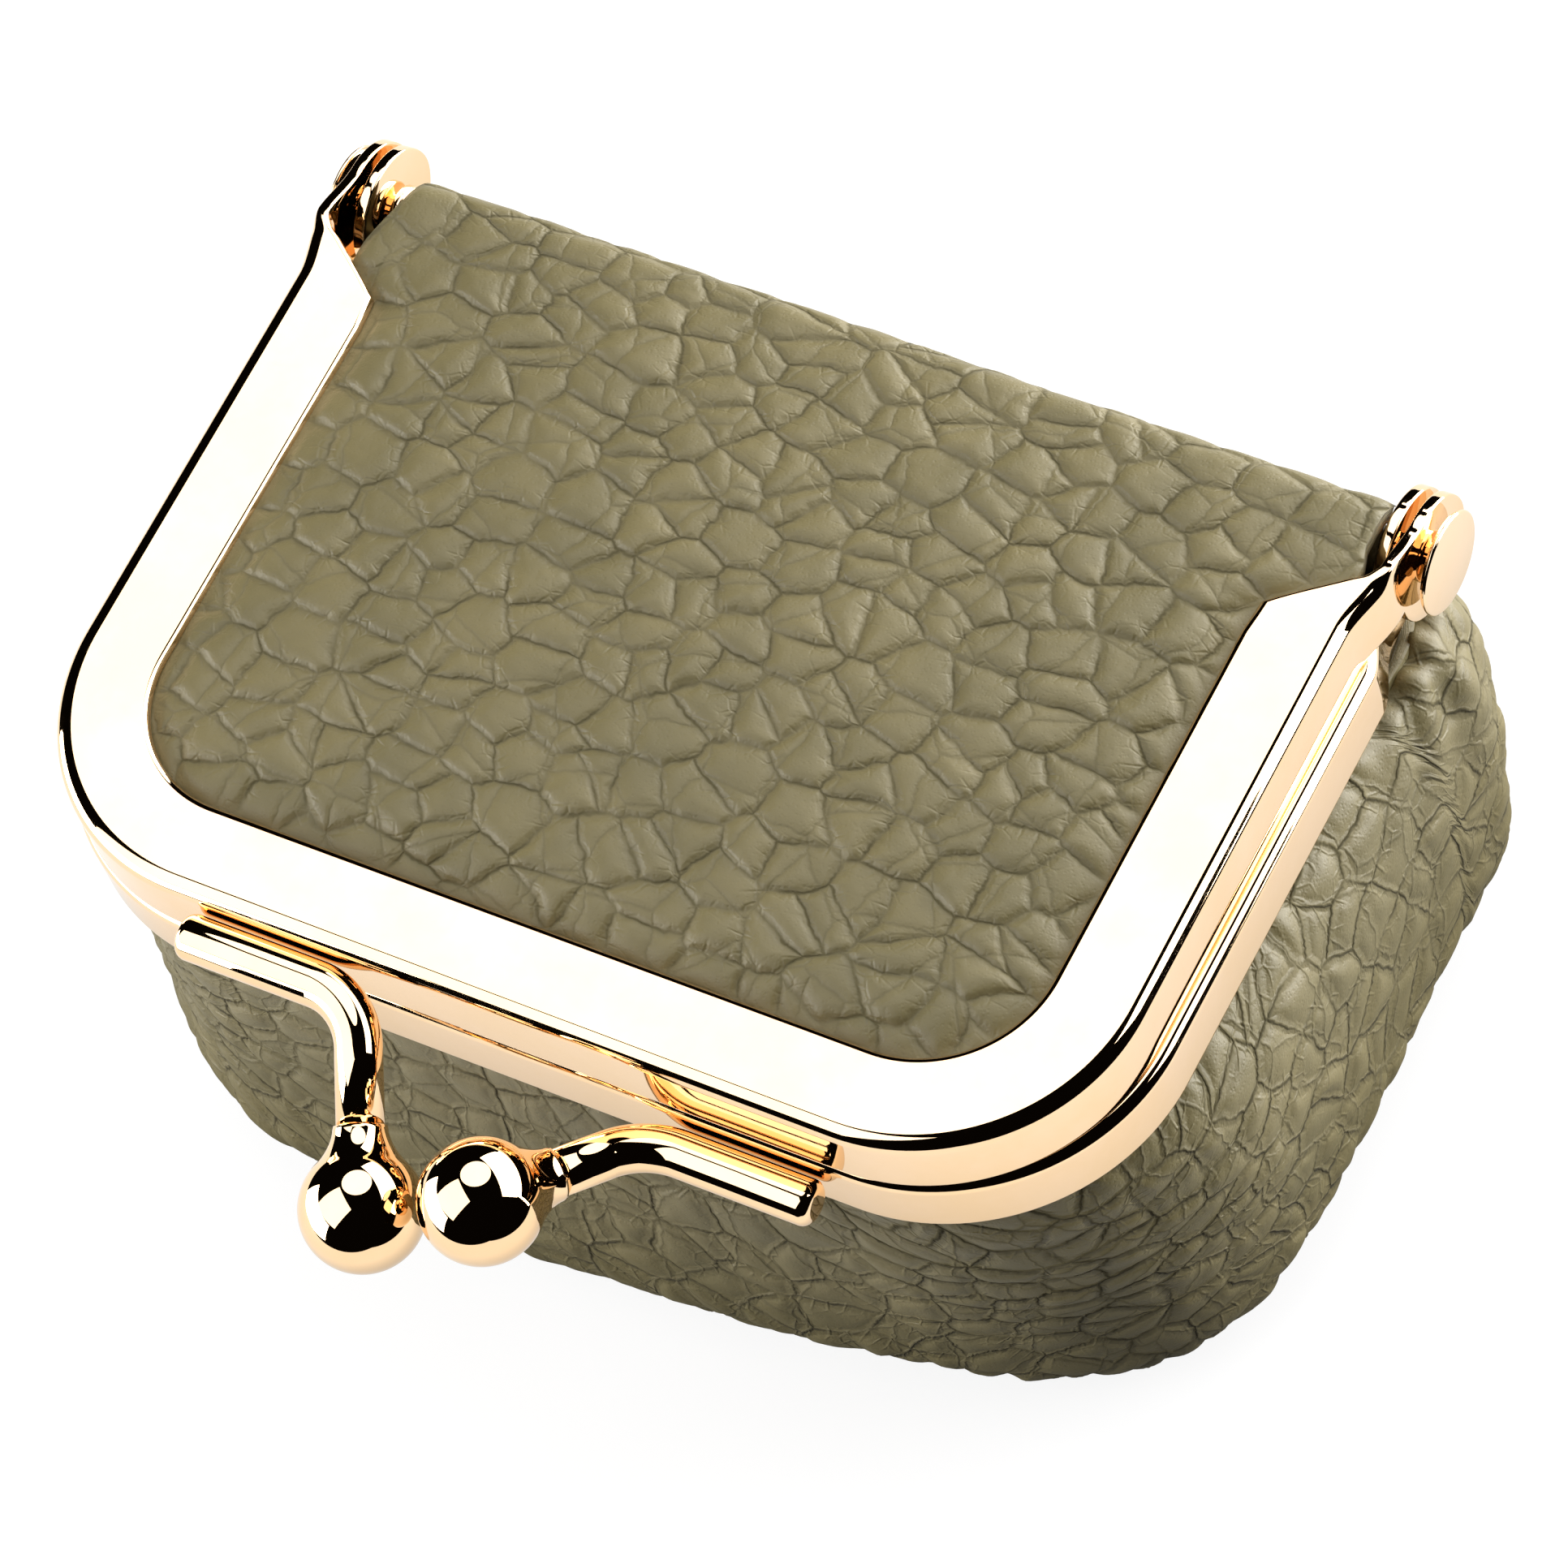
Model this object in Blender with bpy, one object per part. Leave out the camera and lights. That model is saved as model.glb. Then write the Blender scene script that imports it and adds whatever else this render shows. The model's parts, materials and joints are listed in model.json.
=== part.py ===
# Jewelry pouch with a two-ball snap frame
#
# A small box-shaped leather pouch. Two stamped metal rails, each bent to a U, are riveted together
# at their ends: the lower rail carries the deep leather body, the upper rail carries the flat lid.
# A bent arm with a ball stands on the front of each rail, and the two balls snap past each other.
# Metres, +Z up, X along the hinge, the clasp at -Y. The origin is on the ground at the middle of the
# whole object's box.

import math

import bmesh
import bpy
from mathutils import Vector

# Driving sizes of the whole pouch
frame_width = 0.0750
frame_depth = 0.0508
pouch_height = 0.0400
corner_radius = 0.0143

# Sheet metal of the two rails
sheet = 0.0008
rail_height = 0.0050
rail_gap = 0.0003
flange_width = 0.0061
web_width = 0.0046
upper_fillet = 0.0011
lower_fillet = 0.0008
side_step = 0.0008
front_step = 0.0001
edge_round = 0.0002

# Hinge: the ears at the ends of the rails and the two rivets
hinge_drop = 0.0052
ear_radius = 0.0041
ear_gap = 0.0006
ear_spread = 0.0008
joggle_start = 0.0088
joggle_end = 0.0045
flange_cut_start = 0.0090
flange_cut_end = 0.0043
shank_radius = 0.0010
rivet_shoulder_radius = 0.0017
rivet_shoulder_height = 0.0004
rivet_head_radius = 0.0034
rivet_head_height = 0.0005
rivet_head_edge = 0.0002
rivet_tail_radius = 0.0018
rivet_tail_height = 0.0006

# Clasp: arms and balls
rod_radius = 0.0015
rod_end_round = 0.0007
arm_end_x = 0.0218
arm_bend_radius = 0.0045
upper_bend_x = 0.0092
lower_bend_x = 0.0098
upper_arm_drop = 0.0025
lower_arm_drop = 0.0076
ball_radius = 0.00395
ball_pass_gap = 0.0003
upper_ball_reach = 0.0125
lower_ball_reach = 0.0104
upper_ball_drop = 0.0069
lower_ball_drop = 0.0037
collar_radius = 0.0027
collar_length = 0.0011
collar_neck_radius = 0.0017
solder_gap = 0.0001

# Leather, lining, boards and cords
seat_gap = 0.0003
leather = 0.0010
lining = 0.0005
board = 0.0009
cord_radius = 0.0005
lid_crown = 0.0007
lid_crown_slope = 0.0012
hinge_skin_gap = 0.0006
hinge_skin_radius = 0.0050
roll_radius = 0.0024
back_plane = 0.0011
back_swell = 0.0013
back_foot_height = 0.0050
side_swell = 0.0034
front_swell = 0.0013
front_corner_growth = 0.0038
base_edge_radius = 0.0075
back_corner_radius = 0.0075
shoulder_length = 0.0018
mouth_back_rim_drop = 0.0107

# Shares of the heights, swells and turns that they follow
body_height_shares = (1.00, 0.94, 0.86, 0.74, 0.60, 0.46, 0.34)
side_swell_shares = (0.00, 0.34, 0.66, 0.90, 1.00, 0.98, 0.90)
front_swell_shares = (0.00, 0.10, 0.25, 0.45, 0.70, 0.90, 1.00)
back_height_shares = (0.92, 0.75, 0.50, 0.25, 0.0)
back_swell_shares = (0.45, 0.85, 1.00, 0.80, 0.20)
ear_turn_shares = (0.06, 0.12, 0.20, 0.29, 0.38, 0.47, 0.56, 0.65, 0.74, 0.82, 0.89, 0.95)

# Counts
corner_steps = 14
fillet_steps = 4
joggle_steps = 6
round_steps = 32
ball_steps = 13
bend_steps = 8
end_round_steps = 3
arm_bevel_steps = 4
cord_bevel_steps = 1
body_corner_steps = 7
edge_steps = 5
roll_steps = 6

# Edges that turn more sharply than this are shaded as edges
sharp_angle = math.radians(40)

# Colours and finishes, as red, green, blue, roughness and metallic
gold_finish = (0.95, 0.72, 0.46, 0.12, 1.0)
leather_finish = (0.24, 0.23, 0.15, 0.55, 0.0)
lining_finish = (0.30, 0.27, 0.19, 0.85, 0.0)
board_finish = (0.55, 0.47, 0.36, 0.90, 0.0)
cord_finish = (0.72, 0.63, 0.48, 0.95, 0.0)

# Places that follow from the sizes. Heights are measured down from the top of the lid.
half_width = frame_width / 2
upper_ball_front = frame_depth + upper_ball_reach + ball_radius
hinge_y = (upper_ball_front - ear_radius) / 2
lower_top_drop = rail_height + rail_gap
lower_bottom_drop = lower_top_drop + rail_height - rail_gap
ball_x = ball_radius + ball_pass_gap / 2
upper_ear_shift = ear_spread
lower_ear_shift = upper_ear_shift - ear_gap - sheet - side_step
upper_ear_face = half_width + upper_ear_shift
lower_ear_inner = half_width + side_step + lower_ear_shift - sheet
rivet_tail_face = lower_ear_inner - seat_gap - rivet_tail_height
hinge_skin_half_width = rivet_tail_face - hinge_skin_gap
skin_inset = sheet + seat_gap
lining_inset = skin_inset + leather + seat_gap
bowl_top_drop = lower_top_drop + sheet + seat_gap
bowl_back = back_plane - leather - seat_gap


def clear_scene():
    for thing in list(bpy.data.objects):
        bpy.data.objects.remove(thing, do_unlink=True)


def material(name, finish):
    red, green, blue, roughness, metallic = finish
    mat = bpy.data.materials.new(name)
    mat.use_nodes = True
    shader = mat.node_tree.nodes["Principled BSDF"]
    shader.inputs["Base Color"].default_value = (red, green, blue, 1.0)
    shader.inputs["Roughness"].default_value = roughness
    shader.inputs["Metallic"].default_value = metallic
    return mat


def place(name, mesh, finish, hinge=None):
    """Put a finished mesh in the scene, on the lid's hinge empty if it moves with the lid."""
    thing = bpy.data.objects.new(name, mesh)
    bpy.context.scene.collection.objects.link(thing)
    mesh.materials.append(material(name, finish))
    mesh.shade_smooth()
    mesh.set_sharp_from_angle(angle=sharp_angle)
    if hinge is not None:
        mesh.transform(hinge.matrix_world.inverted())
        thing.parent = hinge
    return thing


def finish_mesh(name, bm):
    bmesh.ops.recalc_face_normals(bm, faces=bm.faces)
    mesh = bpy.data.meshes.new(name)
    bm.to_mesh(mesh)
    bm.free()
    return mesh


def at(x, y, drop):
    """World point from a place given from the hinge axis (y) and down from the lid's top (drop)."""
    return Vector((x, hinge_y + y, pouch_height - drop))


def loft(name, loops):
    """Closed solid through a run of loops that all have the same number of points."""
    bm = bmesh.new()
    rings = [[bm.verts.new(point) for point in loop] for loop in loops]
    count = len(rings[0])
    for ring, following in zip(rings, rings[1:]):
        for i in range(count):
            j = (i + 1) % count
            bm.faces.new((ring[i], ring[j], following[j], following[i]))
    bm.faces.new(rings[0])
    bm.faces.new(rings[-1])
    return finish_mesh(name, bm)


def turned(name, profile, origin, axis):
    """Solid of revolution. The profile holds (radius, distance along the axis) from end to end."""
    bm = bmesh.new()
    verts = [bm.verts.new((radius, 0, along)) for radius, along in profile]
    edges = [bm.edges.new(pair) for pair in zip(verts, verts[1:])]
    bmesh.ops.spin(bm, geom=verts + edges, cent=(0, 0, 0), axis=(0, 0, 1), angle=math.tau,
                   steps=round_steps, use_merge=True)
    bmesh.ops.remove_doubles(bm, verts=bm.verts, dist=edge_round / round_steps)
    turn = Vector((0, 0, 1)).rotation_difference(axis).to_matrix().to_4x4()
    bm.transform(turn)
    bmesh.ops.translate(bm, verts=bm.verts, vec=origin)
    return finish_mesh(name, bm)


def smooth_step(value, low, high):
    share = min(max((value - low) / (high - low), 0), 1)
    return share * share * (3 - 2 * share)


def arc(cx, cy, radius, start, end, steps):
    """Points on an arc, both ends included. Angles are in quarter turns."""
    points = []
    for i in range(steps + 1):
        angle = math.radians(90) * (start + (end - start) * i / steps)
        points.append((cx + radius * math.cos(angle), cy + radius * math.sin(angle)))
    return points


# The rails


def rail_stations(half, depth, radius):
    """Right half of a rail in plan, from the middle of the front to the tip of the ear.

    Each station is (x, y, normal x, normal y), with y measured from the hinge axis.
    """
    stations = [(0, -depth, 0, -1)]
    for x, y in arc(half - radius, radius - depth, radius, -1, 0, corner_steps):
        normal = Vector((x - half + radius, y + depth - radius)).normalized()
        stations.append((x, y, normal.x, normal.y))
    for i in range(joggle_steps + 1):
        y = -joggle_start + (joggle_start - joggle_end) * i / joggle_steps
        stations.append((half, y, 1, 0))
    for share in ear_turn_shares:
        stations.append((half, -ear_radius * math.cos(math.pi * share), 1, 0))
    return stations


def ear_reach(y):
    """Half the height of the round ear at a distance y from the hinge axis."""
    return math.sqrt(max(ear_radius ** 2 - y ** 2, 0))


def rail_edges(y, top, bottom):
    """Drops of the rail's top and bottom edge: straight along the wall, round at the ear."""
    ear_top = hinge_drop - ear_reach(y)
    ear_bottom = hinge_drop + ear_reach(y)
    if y > 0:
        return ear_top, ear_bottom
    if top < hinge_drop - ear_radius:
        top += (hinge_drop - ear_radius - top) * smooth_step(y, -joggle_end, 0)
    elif y > -ear_radius:
        top = min(top, ear_top)
    if bottom > hinge_drop + ear_radius:
        bottom += (hinge_drop + ear_radius - bottom) * smooth_step(y, -joggle_start, 0)
    elif y > -ear_radius:
        bottom = max(bottom, ear_bottom)
    return top, bottom


def rail_section(lip, fillet, plain, top, bottom):
    """Loop of (inset, drop) round the section: an L with a rounded knee, or a plain wall.

    plain runs from 0, the L, to 1, the wall of the ear.
    """
    inner = max(fillet - sheet, edge_round)
    knee = [(fillet + x, top + fillet - y) for x, y in arc(0, 0, fillet, 2, 1, fillet_steps)]
    hollow = [(sheet + inner + x, top + sheet + inner - y) for x, y in arc(0, 0, inner, 1, 2, fillet_steps)]
    bent = [(0, bottom - edge_round), *knee, (lip - edge_round, top), (lip, top + edge_round),
            (lip, top + sheet), *hollow, (sheet, bottom - edge_round), (sheet - edge_round, bottom),
            (edge_round, bottom)]
    height = bottom - top
    outer_count = len(knee)
    straight = [(0, bottom - edge_round)]
    for i in range(outer_count):
        share = i / (outer_count - 1)
        straight.append((edge_round * share, top + edge_round * (1 - share)))
    straight += [(sheet - edge_round, top), (sheet, top + edge_round)]
    for i in range(len(hollow) + 1):
        straight.append((sheet, top + edge_round + (height / 2 - edge_round) * (i + 1) / (len(hollow) + 1)))
    straight += [(sheet, bottom - edge_round), (sheet - edge_round, bottom), (edge_round, bottom)]
    section = []
    for (inset, drop), (wall_inset, wall_drop) in zip(bent, straight):
        section.append((inset + (wall_inset - inset) * plain, drop + (wall_drop - drop) * plain))
    return section


def rail_loops(half, depth, radius, lip, fillet, top, bottom, ear_shift):
    """Loops of a whole rail, from the tip of the left ear round the front to the right one."""
    right = []
    for x, y, nx, ny in rail_stations(half, depth, radius):
        edge_top, edge_bottom = rail_edges(y, top, bottom)
        cut = min(max((y + flange_cut_start) / (flange_cut_start - flange_cut_end), 0), 1)
        width = lip + (sheet + edge_round - lip) * cut
        shift = ear_shift * smooth_step(y, -joggle_start, -joggle_end)
        plain = 1 if y > -joggle_end else 0
        section = rail_section(max(width, fillet + 2 * edge_round), fillet, plain, edge_top, edge_bottom)
        right.append([(x + shift * nx - inset * nx, y - inset * ny, drop) for inset, drop in section])
    left = [[(-x, y, drop) for x, y, drop in loop] for loop in reversed(right[1:])]
    return [[at(*point) for point in loop] for loop in left + right]


def hinge_cutter(name, radius, half_length):
    """Cylinder on the hinge axis. It only cuts, and isn't part of the pouch."""
    profile = [(0, -half_length), (radius, -half_length), (radius, half_length), (0, half_length)]
    cutter = place(name, turned(name, profile, at(0, 0, hinge_drop), Vector((1, 0, 0))), gold_finish)
    cutter.hide_render = True
    cutter.display_type = "WIRE"
    return cutter


def cut_with(thing, cutter):
    cut = thing.modifiers.new("hinge_cut", "BOOLEAN")
    cut.operation = "DIFFERENCE"
    cut.solver = "EXACT"
    cut.object = cutter


def build_rails(hinge, bore):
    upper = rail_loops(half_width, frame_depth, corner_radius, flange_width, upper_fillet,
                       0, rail_height, upper_ear_shift)
    lower = rail_loops(half_width + side_step, frame_depth + front_step, corner_radius + side_step,
                       web_width, lower_fillet, lower_top_drop, lower_bottom_drop, lower_ear_shift)
    cut_with(place("upper_frame", loft("upper_frame", upper), gold_finish, hinge), bore)
    cut_with(place("lower_frame", loft("lower_frame", lower), gold_finish), bore)


def build_rivets():
    """Flat-headed rivets: head outside, shank through both ears, flared tail inside."""
    tail = rivet_tail_face
    shoulder = upper_ear_face + seat_gap
    head = shoulder + rivet_shoulder_height
    profile = [(0, tail), (rivet_tail_radius - edge_round, tail),
               (rivet_tail_radius, tail + edge_round), (rivet_tail_radius, tail + rivet_tail_height),
               (shank_radius, tail + rivet_tail_height), (shank_radius, shoulder),
               (rivet_shoulder_radius, shoulder), (rivet_shoulder_radius, head),
               (rivet_head_radius, head)]
    rim = head + rivet_head_height - rivet_head_edge
    for radius, along in arc(rivet_head_radius - rivet_head_edge, rim, rivet_head_edge, 0, 1, fillet_steps):
        profile.append((radius, along))
    profile.append((0, head + rivet_head_height))
    for side, name in ((-1, "rivet_left"), (1, "rivet_right")):
        place(name, turned(name, profile, at(0, 0, hinge_drop), Vector((side, 0, 0))), gold_finish)


# The clasp


def arm_route(side, bend_x, arm_drop, wall, ball_centre):
    """Middle line of an arm: along the rail, round the bend and straight on to the ball's collar.

    Returns the points, the radius at each of them, and the direction of the leg with the ball.
    """
    rod_y = -wall - solder_gap - rod_radius
    start = at(side * arm_end_x, rod_y, arm_drop)
    corner = at(side * bend_x, rod_y, arm_drop)
    first = (corner - start).normalized()
    second = (ball_centre - corner).normalized()
    turn = first.angle(second)
    setback = arm_bend_radius * math.tan(turn / 2)
    inward = (second - first * first.dot(second)).normalized()
    centre = corner - first * setback + inward * arm_bend_radius
    points = []
    radii = []
    for across, along in arc(0, 0, rod_end_round, 1, 0, end_round_steps):
        points.append(start + first * (rod_end_round - along))
        radii.append(rod_radius - rod_end_round + across)
    for i in range(bend_steps + 1):
        angle = turn * i / bend_steps
        swing = first * math.sin(angle) - inward * math.cos(angle)
        points.append(centre + swing * arm_bend_radius)
        radii.append(rod_radius)
    points.append(ball_centre - second * (ball_radius + collar_length + solder_gap))
    radii.append(rod_radius)
    return points, radii, second


def rod(name, points, radii, bevel_steps):
    """Round bar along a line of points, with a radius at each, as a filled curve turned to a mesh."""
    curve = bpy.data.curves.new(name, "CURVE")
    curve.dimensions = "3D"
    curve.bevel_depth = 1
    curve.bevel_resolution = bevel_steps
    curve.use_fill_caps = True
    spline = curve.splines.new("POLY")
    spline.points.add(len(points) - 1)
    for knot, point, radius in zip(spline.points, points, radii):
        knot.co = (*point, 1)
        knot.radius = radius
    guide = bpy.data.objects.new(name + "_line", curve)
    mesh = bpy.data.meshes.new_from_object(guide)
    bpy.data.objects.remove(guide, do_unlink=True)
    bpy.data.curves.remove(curve)
    return mesh


def ball_profile():
    """Ball with the flared collar that the arm runs into, the collar towards +axis."""
    flare = math.acos(collar_radius / ball_radius)
    profile = []
    for i in range(ball_steps + 1):
        angle = -math.pi / 2 + (flare + math.pi / 2) * i / ball_steps
        profile.append((ball_radius * math.cos(angle), ball_radius * math.sin(angle)))
    profile[0] = (0, -ball_radius)
    start = profile[-1]
    end = (collar_neck_radius, ball_radius + collar_length)
    for i in range(1, fillet_steps + 1):
        share = i / fillet_steps
        along = start[1] + (end[1] - start[1]) * share
        profile.append((end[0] + (start[0] - end[0]) * (1 - share) ** 2, along))
    profile.append((0, end[1]))
    return profile


def build_clasp(hinge):
    """Bent arms on the two rails: the upper one on the left, the lower one on the right."""
    clasp = (("upper", -1, upper_bend_x, upper_arm_drop, frame_depth,
              upper_ball_reach, upper_ball_drop, hinge),
             ("lower", 1, lower_bend_x, lower_arm_drop, frame_depth + front_step,
              lower_ball_reach, lower_ball_drop, None))
    for rail, side, bend_x, arm_drop, wall, reach, drop, carrier in clasp:
        centre = at(side * ball_x, -frame_depth - reach, drop)
        points, radii, leg = arm_route(side, bend_x, arm_drop, wall, centre)
        name = "clasp_arm_" + rail
        place(name, rod(name, points, radii, arm_bevel_steps), gold_finish, carrier)
        name = "clasp_ball_" + rail
        place(name, turned(name, ball_profile(), centre, -leg), gold_finish, carrier)


# The lid's layers


def lid_outline(inset):
    """Plan of a lid layer: the rail's U drawn in by inset, narrower between the ears."""
    half = half_width - inset
    front = frame_depth - inset
    radius = corner_radius - inset
    neck = min(hinge_skin_half_width, half - shoulder_length)
    right = [(0, -front)]
    right += arc(half - radius, radius - front, radius, -1, 0, body_corner_steps)
    right += [(half, -joggle_start), (neck, shoulder_length - joggle_start), (neck, 0)]
    left = [(-x, y) for x, y in reversed(right[1:])]
    return left + right


def window_outline(inset):
    """Plan of the opening in the upper flange, drawn in by inset: it widens along the cut ends."""
    half = half_width - flange_width - inset
    front = frame_depth - flange_width - inset
    radius = corner_radius - flange_width - inset
    neck = hinge_skin_half_width - inset
    slope = (flange_cut_start - flange_cut_end) / (flange_width - sheet)
    corner = inset * (math.hypot(1, slope) - slope) - flange_cut_start
    right = [(0, -front)]
    right += arc(half - radius, radius - front, radius, -1, 0, body_corner_steps)
    right += [(half, corner), (neck, corner + (neck - half) * slope), (neck, 0)]
    left = [(-x, y) for x, y in reversed(right[1:])]
    return left + right


def layer(name, outline, top, bottom):
    """Flat layer between two drops."""
    return loft(name, [[at(x, y, bottom) for x, y in outline], [at(x, y, top) for x, y in outline]])


def lid_skin():
    """Lid leather: flat where the flange covers it, crowned in the open middle."""
    edge = lid_outline(skin_inset)
    window = window_outline(seat_gap)
    crown = window_outline(seat_gap + lid_crown_slope)
    under = sheet + seat_gap
    loops = [[at(x, y, under + leather) for x, y in edge],
             [at(x, y, under) for x, y in edge],
             [at(x, y, under) for x, y in window],
             [at(x, y, under - lid_crown) for x, y in crown]]
    return loft("lid_leather", loops)


def u_line(half, depth, radius, drop, back):
    """Line of points along a U, from one end near the hinge to the other."""
    right = [(0, -depth)]
    right += arc(half - radius, radius - depth, radius, -1, 0, body_corner_steps)
    right.append((half, -back))
    left = [(-x, y) for x, y in reversed(right[1:])]
    return [at(x, y, drop) for x, y in left + right]


def build_lid(hinge, clearance):
    skin = place("lid_leather", lid_skin(), leather_finish, hinge)
    under = sheet + seat_gap + leather + seat_gap
    card_inset = skin_inset + 2 * cord_radius + 2 * seat_gap
    card_mesh = layer("lid_board", lid_outline(card_inset), under, under + board)
    card = place("lid_board", card_mesh, board_finish, hinge)
    under += board + seat_gap
    cloth_mesh = layer("lid_lining", lid_outline(skin_inset), under, under + lining)
    cloth = place("lid_lining", cloth_mesh, lining_finish, hinge)
    for thing in (skin, card, cloth):
        cut_with(thing, clearance)
    inset = skin_inset + cord_radius
    drop = sheet + seat_gap + leather + seat_gap + cord_radius
    points = u_line(half_width - inset, frame_depth - inset, corner_radius - inset, drop, joggle_start)
    cord = rod("binding_cord_upper", points, [cord_radius] * len(points), cord_bevel_steps)
    place("binding_cord_upper", cord, cord_finish, hinge)


# The body's layers


def body_loop(inset, side_share, front_share, drop, rear_drop, back):
    """Rounded rectangle of the body at one height, drawn in from the lower rail's outer face."""
    half = half_width + side_step - inset + side_swell * side_share
    front = frame_depth + front_step - inset + front_swell * front_share
    front_radius = corner_radius + side_step - inset + front_corner_growth * side_share
    rear_radius = back_corner_radius - (bowl_back - back)
    right = [(0, -front)]
    right += arc(half - front_radius, front_radius - front, front_radius, -1, 0, body_corner_steps)
    right += [(half, -joggle_start - shoulder_length), (half, -joggle_start)]
    right += arc(half - rear_radius, back - rear_radius, rear_radius, 0, 1, body_corner_steps)
    right += [(0, back)]
    left = [(-x, y) for x, y in reversed(right[1:-1])]
    loop = []
    for x, y in right + left:
        share = smooth_step(y, -joggle_start - shoulder_length, -joggle_start)
        loop.append(at(x, y, drop + (rear_drop - drop) * share))
    return loop


def body_loops(inset, floor, back):
    """Loops of one skin of the bowl, from the rim down to the edge of its flat bottom."""
    loops = [body_loop(inset, 0, 0, bowl_top_drop, mouth_back_rim_drop, back)]
    top = lower_bottom_drop
    depth = pouch_height - top
    start = mouth_back_rim_drop + seat_gap
    for height, bulge, reach in zip(body_height_shares, side_swell_shares, front_swell_shares):
        drop = top + depth * (1 - height)
        rear_drop = max(drop, start + depth * (1 - height))
        loops.append(body_loop(inset, bulge, reach, drop, rear_drop, back))
    side = side_swell_shares[-1]
    front = front_swell_shares[-1]
    radius = base_edge_radius - inset + skin_inset
    base = pouch_height - floor
    for i in range(1, edge_steps + 1):
        angle = math.pi / 2 * i / edge_steps
        drawn = radius * (1 - math.cos(angle))
        drop = base - radius * (1 - math.sin(angle))
        loops.append(body_loop(inset + drawn, side, front, drop, drop, back - drawn))
    return loops


def bowl(name, inset, thickness, floor, back):
    """Open bowl: the outer skin down, the flat bottom, and the inner skin up again."""
    outer = body_loops(inset, floor, back)
    inner = body_loops(inset + thickness, floor + thickness, back - thickness)
    bm = bmesh.new()
    skins = []
    for loops in (outer, inner):
        rings = [[bm.verts.new(point) for point in loop] for loop in loops]
        for ring, following in zip(rings, rings[1:]):
            for i in range(len(ring)):
                j = (i + 1) % len(ring)
                bm.faces.new((ring[i], ring[j], following[j], following[i]))
        bm.faces.new(rings[-1])
        skins.append(rings[0])
    for i in range(len(skins[0])):
        j = (i + 1) % len(skins[0])
        bm.faces.new((skins[0][i], skins[0][j], skins[1][j], skins[1][i]))
    return finish_mesh(name, bm)


def back_profile():
    """Outer line of the back leather, (y, drop), from the joint with the lid down to its foot."""
    top = sheet + seat_gap - lid_crown
    reach = hinge_drop - top
    front = math.sqrt(hinge_skin_radius ** 2 - reach ** 2)
    line = [(-front, top)]
    for y, rise in arc(back_plane - roll_radius, 0, roll_radius, 1, 0, roll_steps):
        line.append((y, top + roll_radius - rise))
    start = lower_bottom_drop
    depth = pouch_height - back_foot_height - start
    line.append((back_plane, start / 2 + top))
    for height, swell in zip(back_height_shares, back_swell_shares):
        line.append((back_plane + back_swell * swell, start + depth * (1 - height)))
    return line


def back_skin():
    """Back leather: one strip that rolls over the hinge line and hangs down the back."""
    line = back_profile()
    loops = []
    for i, (y, drop) in enumerate(line):
        before = line[max(i - 1, 0)]
        after = line[min(i + 1, len(line) - 1)]
        along = Vector((after[0] - before[0], after[1] - before[1])).normalized()
        inner_y = y - along.y * leather
        inner_drop = drop + along.x * leather
        half = hinge_skin_half_width
        loops.append([at(-half, y, drop), at(half, y, drop), at(half, inner_y, inner_drop),
                      at(-half, inner_y, inner_drop)])
    return loft("back_leather", loops)


def build_body():
    place("back_leather", back_skin(), leather_finish)
    place("body_leather", bowl("body_leather", skin_inset, leather, 0, bowl_back), leather_finish)
    lining_floor = leather + seat_gap + board + seat_gap
    lining_back = bowl_back - leather - seat_gap
    cloth = bowl("body_lining", lining_inset, lining, lining_floor, lining_back)
    place("body_lining", cloth, lining_finish)
    card_drop = pouch_height - leather - seat_gap
    card = body_loop(skin_inset + base_edge_radius, side_swell_shares[-1], front_swell_shares[-1],
                     card_drop, card_drop, bowl_back - base_edge_radius)
    top = [point + Vector((0, 0, board)) for point in card]
    place("base_board", loft("base_board", [card, top]), board_finish)
    inset = lining_inset + lining + seat_gap + cord_radius
    drop = bowl_top_drop + cord_radius
    points = u_line(half_width + side_step - inset, frame_depth + front_step - inset,
                    corner_radius + side_step - inset, drop, joggle_start)
    cord = rod("binding_cord_lower", points, [cord_radius] * len(points), cord_bevel_steps)
    place("binding_cord_lower", cord, cord_finish)


def build_pouch():
    clear_scene()
    hinge = bpy.data.objects.new("lid_hinge", None)
    bpy.context.scene.collection.objects.link(hinge)
    hinge.location = at(0, 0, hinge_drop)
    bpy.context.view_layer.update()
    bore = hinge_cutter("ear_bore_cutter", shank_radius + seat_gap, frame_width)
    clearance = hinge_cutter("lid_clearance_cutter", hinge_skin_radius + seat_gap, half_width)
    build_rails(hinge, bore)
    build_rivets()
    build_clasp(hinge)
    build_lid(hinge, clearance)
    build_body()


build_pouch()
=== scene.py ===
# Looks of the jewelry pouch: a polished gold snap frame round a small box of pebbled leather

import json
import math

import bpy
import numpy as np
from mathutils import Matrix, Vector


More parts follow.
